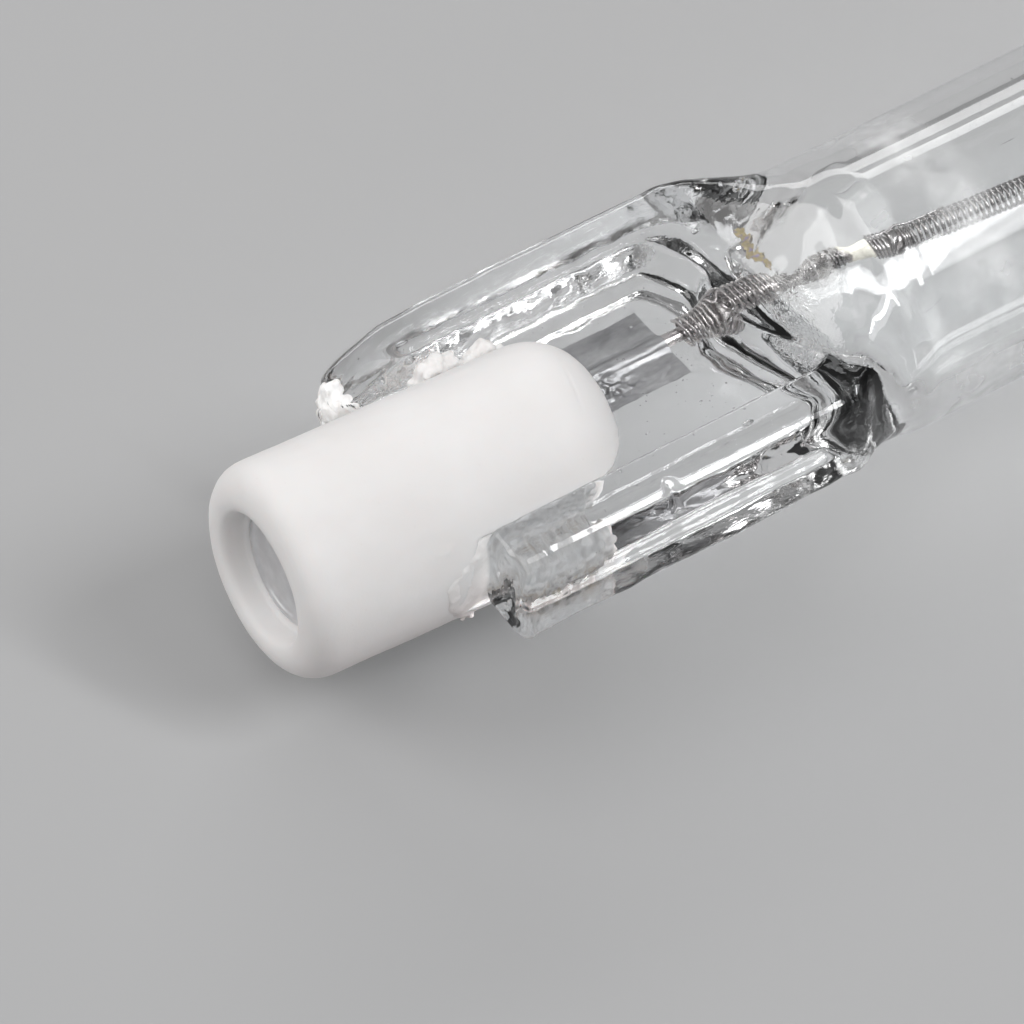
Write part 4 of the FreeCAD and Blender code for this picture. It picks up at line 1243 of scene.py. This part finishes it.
# nickel-plated contact, lightly turned and scuffed
n_ = Mat("nickel_contact", color=(0.74, 0.74, 0.75), rough=0.45, metal=1.0)
n_.link(n_.ramp(n_.noise(0.5, 4.0, 0.6), (0.3, (0.66, 0.66, 0.67)), (0.7, (0.8, 0.8, 0.81))), "Base Color")
n_.link(n_.value(n_.noise(0.25, 4.0, 0.65), 0.3, 0.7, 0.38, 0.62), "Roughness")
n_.bump((n_.noise(0.1, 3.0, 0.6, stretch=(1, 6, 0.6)), 0.006, 0.5), (n_.noise(0.05, 2.0), 0.003, 0.5))

# rolled molybdenum foil
f_ = Mat("molybdenum_foil", color=(0.55, 0.55, 0.57), rough=0.4, metal=1.0)
f_.link(f_.ramp(f_.noise(0.9, 4.0, 0.6, stretch=(3, 1, 1)), (0.3, (0.25, 0.25, 0.258)), (0.72, (0.46, 0.46, 0.468))), "Base Color")
f_.link(f_.value(f_.noise(0.3, 3.0, 0.6, stretch=(3, 1, 1)), 0.3, 0.7, 0.36, 0.55), "Roughness")
f_.bump((f_.noise(0.09, 3.0, 0.6, stretch=(8, 1, 1)), 0.005, 0.6), (f_.noise(0.4, 3.0), 0.02, 0.4))

w_ = Mat("tungsten_wire", color=(0.5, 0.49, 0.49), rough=0.24, metal=1.0)
w_.link(w_.ramp(w_.noise(0.8, 3.0, 0.6), (0.3, (0.3, 0.29, 0.29)), (0.55, (0.44, 0.43, 0.43)), (0.8, (0.56, 0.53, 0.51))), "Base Color")
w_.link(w_.value(w_.noise(0.15, 3.0, 0.6), 0.3, 0.7, 0.16, 0.36), "Roughness")
w_.bump((w_.noise(0.03, 2.0, 0.6, stretch=(2, 1, 1)), 0.002, 0.5), (w_.noise(0.2, 2.0), 0.006, 0.3))

h_ = Mat("lead_wire", color=(0.5, 0.47, 0.46), rough=0.28, metal=1.0)
hx = h_.math("ABSOLUTE", sep(h_, "X"))
pale = h_.math("MULTIPLY", h_.value(hx, 0.0349, 0.03494, 0.0, 1.0), h_.value(hx, 0.03534, 0.0353, 0.0, 1.0))
h_.link(h_.mix(pale, h_.ramp(h_.noise(0.5, 3.0, 0.6, stretch=(3, 1, 1)), (0.3, (0.36, 0.335, 0.34)), (0.55, (0.56, 0.535, 0.53)),
                             (0.8, (0.68, 0.64, 0.62))), (0.7, 0.68, 0.6)), "Base Color")
h_.link(h_.value(pale, 0.0, 1.0, 1.0, 0.0), "Metallic")
h_.link(h_.value(h_.noise(0.2, 3.0, 0.6), 0.3, 0.7, 0.18, 0.4), "Roughness")
h_.bump((h_.noise(0.05, 2.0, 0.6, stretch=(6, 1, 1)), 0.003, 0.5), (h_.noise(0.3, 2.0), 0.01, 0.3))


t_ = Mat("tarnish", color=(0.3, 0.24, 0.1), rough=0.3, metal=0.35)
t_.link(t_.ramp(t_.noise(0.24, 3.0, 0.6, stretch=(1.3, 0.7, 1)), (0.36, (0.14, 0.09, 0.22)), (0.41, (0.04, 0.04, 0.02)), (0.45, (0.3, 0.22, 0.03)),
                (0.48, (0.05, 0.045, 0.02)), (0.51, (0.28, 0.2, 0.03)), (0.54, (0.04, 0.035, 0.02)), (0.58, (0.36, 0.27, 0.05)), (0.62, (0.12, 0.08, 0.19)), (0.68, (0.4, 0.33, 0.15))), "Base Color")
t_.link(t_.value(t_.noise(0.12, 3.0, 0.6), 0.3, 0.7, 0.2, 0.5), "Roughness")
t_.bump((t_.noise(0.06, 3.0, 0.7), 0.01, 0.8), (t_.noise(0.2, 2.0), 0.01, 0.4))


def dress(ob, mat):
    ob.data.materials.clear()
    ob.data.materials.append(mat.m)


for ob in list(bpy.data.objects):
    if ob.type != "MESH":
        continue
    name = ob.name
    if name.startswith("quartz"):
        dress(ob, q)
    elif name.startswith("ceramic"):
        dress(ob, c)
    elif name.startswith("cement"):
        dress(ob, k)
    elif name.startswith("tarnish"):
        dress(ob, t_)
    elif name.startswith("contact"):
        dress(ob, n_)
    elif name.startswith(("moly_foil", "foil")):
        dress(ob, f_)
    elif name.startswith(("lead_coil", "inner_lead", "outer_lead")):
        dress(ob, h_)
    else:
        dress(ob, w_)


# ------------------------------------------------------------------------------------------------ floor and lights
floor = new_mesh("floor", [(-4000, -4000, 0), (4000, -4000, 0), (4000, 4000, 0), (-4000, 4000, 0)], [(0, 1, 2, 3)])
g = Mat("floor_paper", color=(0.42, 0.42, 0.42), rough=0.6, spec=0.25)
g.link(g.ramp(g.noise(60, 3.0, 0.5), (0.3, (0.41, 0.412, 0.416)), (0.7, (0.43, 0.43, 0.432))), "Base Color")
g.link(g.value(g.noise(40, 2.0), 0.3, 0.7, 0.55, 0.66), "Roughness")
floor.data.materials.append(g.m)
floor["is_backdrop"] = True

world = bpy.data.worlds.new("studio")
bpy.context.scene.world = world
world.use_nodes = True
nt = world.node_tree
back = nt.nodes["Background"]
tc = nt.nodes.new("ShaderNodeTexCoord")
sx = nt.nodes.new("ShaderNodeSeparateXYZ")
nt.links.new(tc.outputs["Generated"], sx.inputs[0])
rp = nt.nodes.new("ShaderNodeValToRGB")
nt.links.new(sx.outputs["Z"], rp.inputs["Fac"])
stops = [(0.0, 0.285), (0.1, 0.28), (0.3, 0.2), (0.52, 0.2), (0.72, 0.34), (1.0, 0.41)]
while len(rp.color_ramp.elements) < len(stops):
    rp.color_ramp.elements.new(1.0)
for el_, (at_, v_) in zip(rp.color_ramp.elements, stops):
    el_.position, el_.color = at_, (v_, v_, v_ * 1.01, 1)
nt.links.new(rp.outputs[0], back.inputs["Color"])
back.inputs["Strength"].default_value = 1.0


def area(name, at, look, size, power, color=(1, 1, 1)):
    d = bpy.data.lights.new(name, "AREA")
    d.shape = "RECTANGLE"
    d.size, d.size_y = size
    d.energy = power
    d.color = color
    ob = bpy.data.objects.new(name, d)
    bpy.context.scene.collection.objects.link(ob)
    ob.location = at
    ob.rotation_mode = "QUATERNION"
    ob.rotation_quaternion = (Vector(look) - Vector(at)).to_track_quat("-Z", "Y")
    return ob


centre = Vector((-0.033, 0, 0.005))
area("key", (-0.358, 0.26, 0.28), centre, (0.30, 0.22), 0.8, (1.0, 0.99, 0.98))
# the large soft light: far away, so that the floor is lit evenly
soft = bpy.data.lights.new("softbox", "SUN")
soft.energy, soft.angle, soft.color = 0.6, math.radians(25), (0.985, 0.99, 1.0)
soft_ob = bpy.data.objects.new("softbox", soft)
bpy.context.scene.collection.objects.link(soft_ob)
soft_ob.rotation_mode = "QUATERNION"
soft_ob.rotation_quaternion = Vector((-0.387, 0.561, -0.7315)).to_track_quat("-Z", "Y")
fill = bpy.data.lights.new("fill", "SUN")
fill.energy, fill.angle, fill.color = 0.8, math.radians(56), (1.0, 0.995, 0.99)
fill_ob = bpy.data.objects.new("fill", fill)
bpy.context.scene.collection.objects.link(fill_ob)
fill_ob.rotation_mode = "QUATERNION"
fill_ob.rotation_quaternion = Vector((0.42, 0.28, -0.86)).to_track_quat("-Z", "Y")
area("back", (0.10, 0.42, 0.24), centre, (0.42, 0.08), 0.48)

# camera: the photograph's
az, el = math.radians(-34.6), math.radians(47.0)
backv = Vector((math.sin(az) * math.cos(el), -math.cos(az) * math.cos(el), math.sin(el)))
right = Vector((math.cos(az), math.sin(az), 0))
upv = backv.cross(right)
FPX, DEPTH = 9728.0, 0.300
sx_, sy_ = (258 - 512) / FPX * DEPTH, (512 - 594) / FPX * DEPTH
eye = Vector((-0.0583, 0, 0.00475)) - right * sx_ - upv * sy_ + backv * DEPTH
cam_data = bpy.data.cameras.new("camera")
cam_data.sensor_width = 36.0
cam_data.lens = FPX / 1024 * 36.0
cam_data.clip_start, cam_data.clip_end = 0.01, 20.0
cam = bpy.data.objects.new("camera", cam_data)
bpy.context.scene.collection.objects.link(cam)
cam.matrix_world = Matrix((
    (right.x, upv.x, backv.x, eye.x), (right.y, upv.y, backv.y, eye.y), (right.z, upv.z, backv.z, eye.z), (0, 0, 0, 1),
))
bpy.context.scene.camera = cam

# narrow strip that stands where its mirror image in the near rail's rounded crest is seen from the camera
crest_at = Vector((-0.0458, -0.00515, 0.0068))
normal = Vector((0, math.cos(math.radians(127.5)), math.sin(math.radians(127.5))))
sight = (eye - crest_at).normalized()
bounce = 2 * normal.dot(sight) * normal - sight
along_x = (Vector((1, 0, 0)) - bounce * bounce.x).normalized()
side_y = bounce.cross(along_x)
strip = bpy.data.lights.new("strip", "AREA")
strip.shape, strip.size, strip.size_y, strip.energy = "RECTANGLE", 0.0185, 0.10, 0.1
strip_ob = bpy.data.objects.new("strip", strip)
bpy.context.scene.collection.objects.link(strip_ob)
spot = crest_at + bounce * 0.2
strip_ob.matrix_world = Matrix((
    (along_x.x, side_y.x, bounce.x, spot.x), (along_x.y, side_y.y, bounce.y, spot.y),
    (along_x.z, side_y.z, bounce.z, spot.z), (0, 0, 0, 1),
))
for ob in bpy.context.scene.objects:
    if ob.type == "LIGHT":
        ob.visible_camera = False

bpy.context.scene.cycles.transmission_bounces = 8
bpy.context.scene.cycles.max_bounces = 8
bpy.context.scene.cycles.diffuse_bounces = 2
bpy.context.scene.cycles.transparent_max_bounces = 6
bpy.context.scene.view_settings.view_transform = "Standard"

tris = {}
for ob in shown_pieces():
    if ob.type == "MESH":
        tris[ob.name] = sum(len(p.vertices) - 2 for p in ob.data.polygons)
print("TRIS", sum(tris.values()), json.dumps(tris))
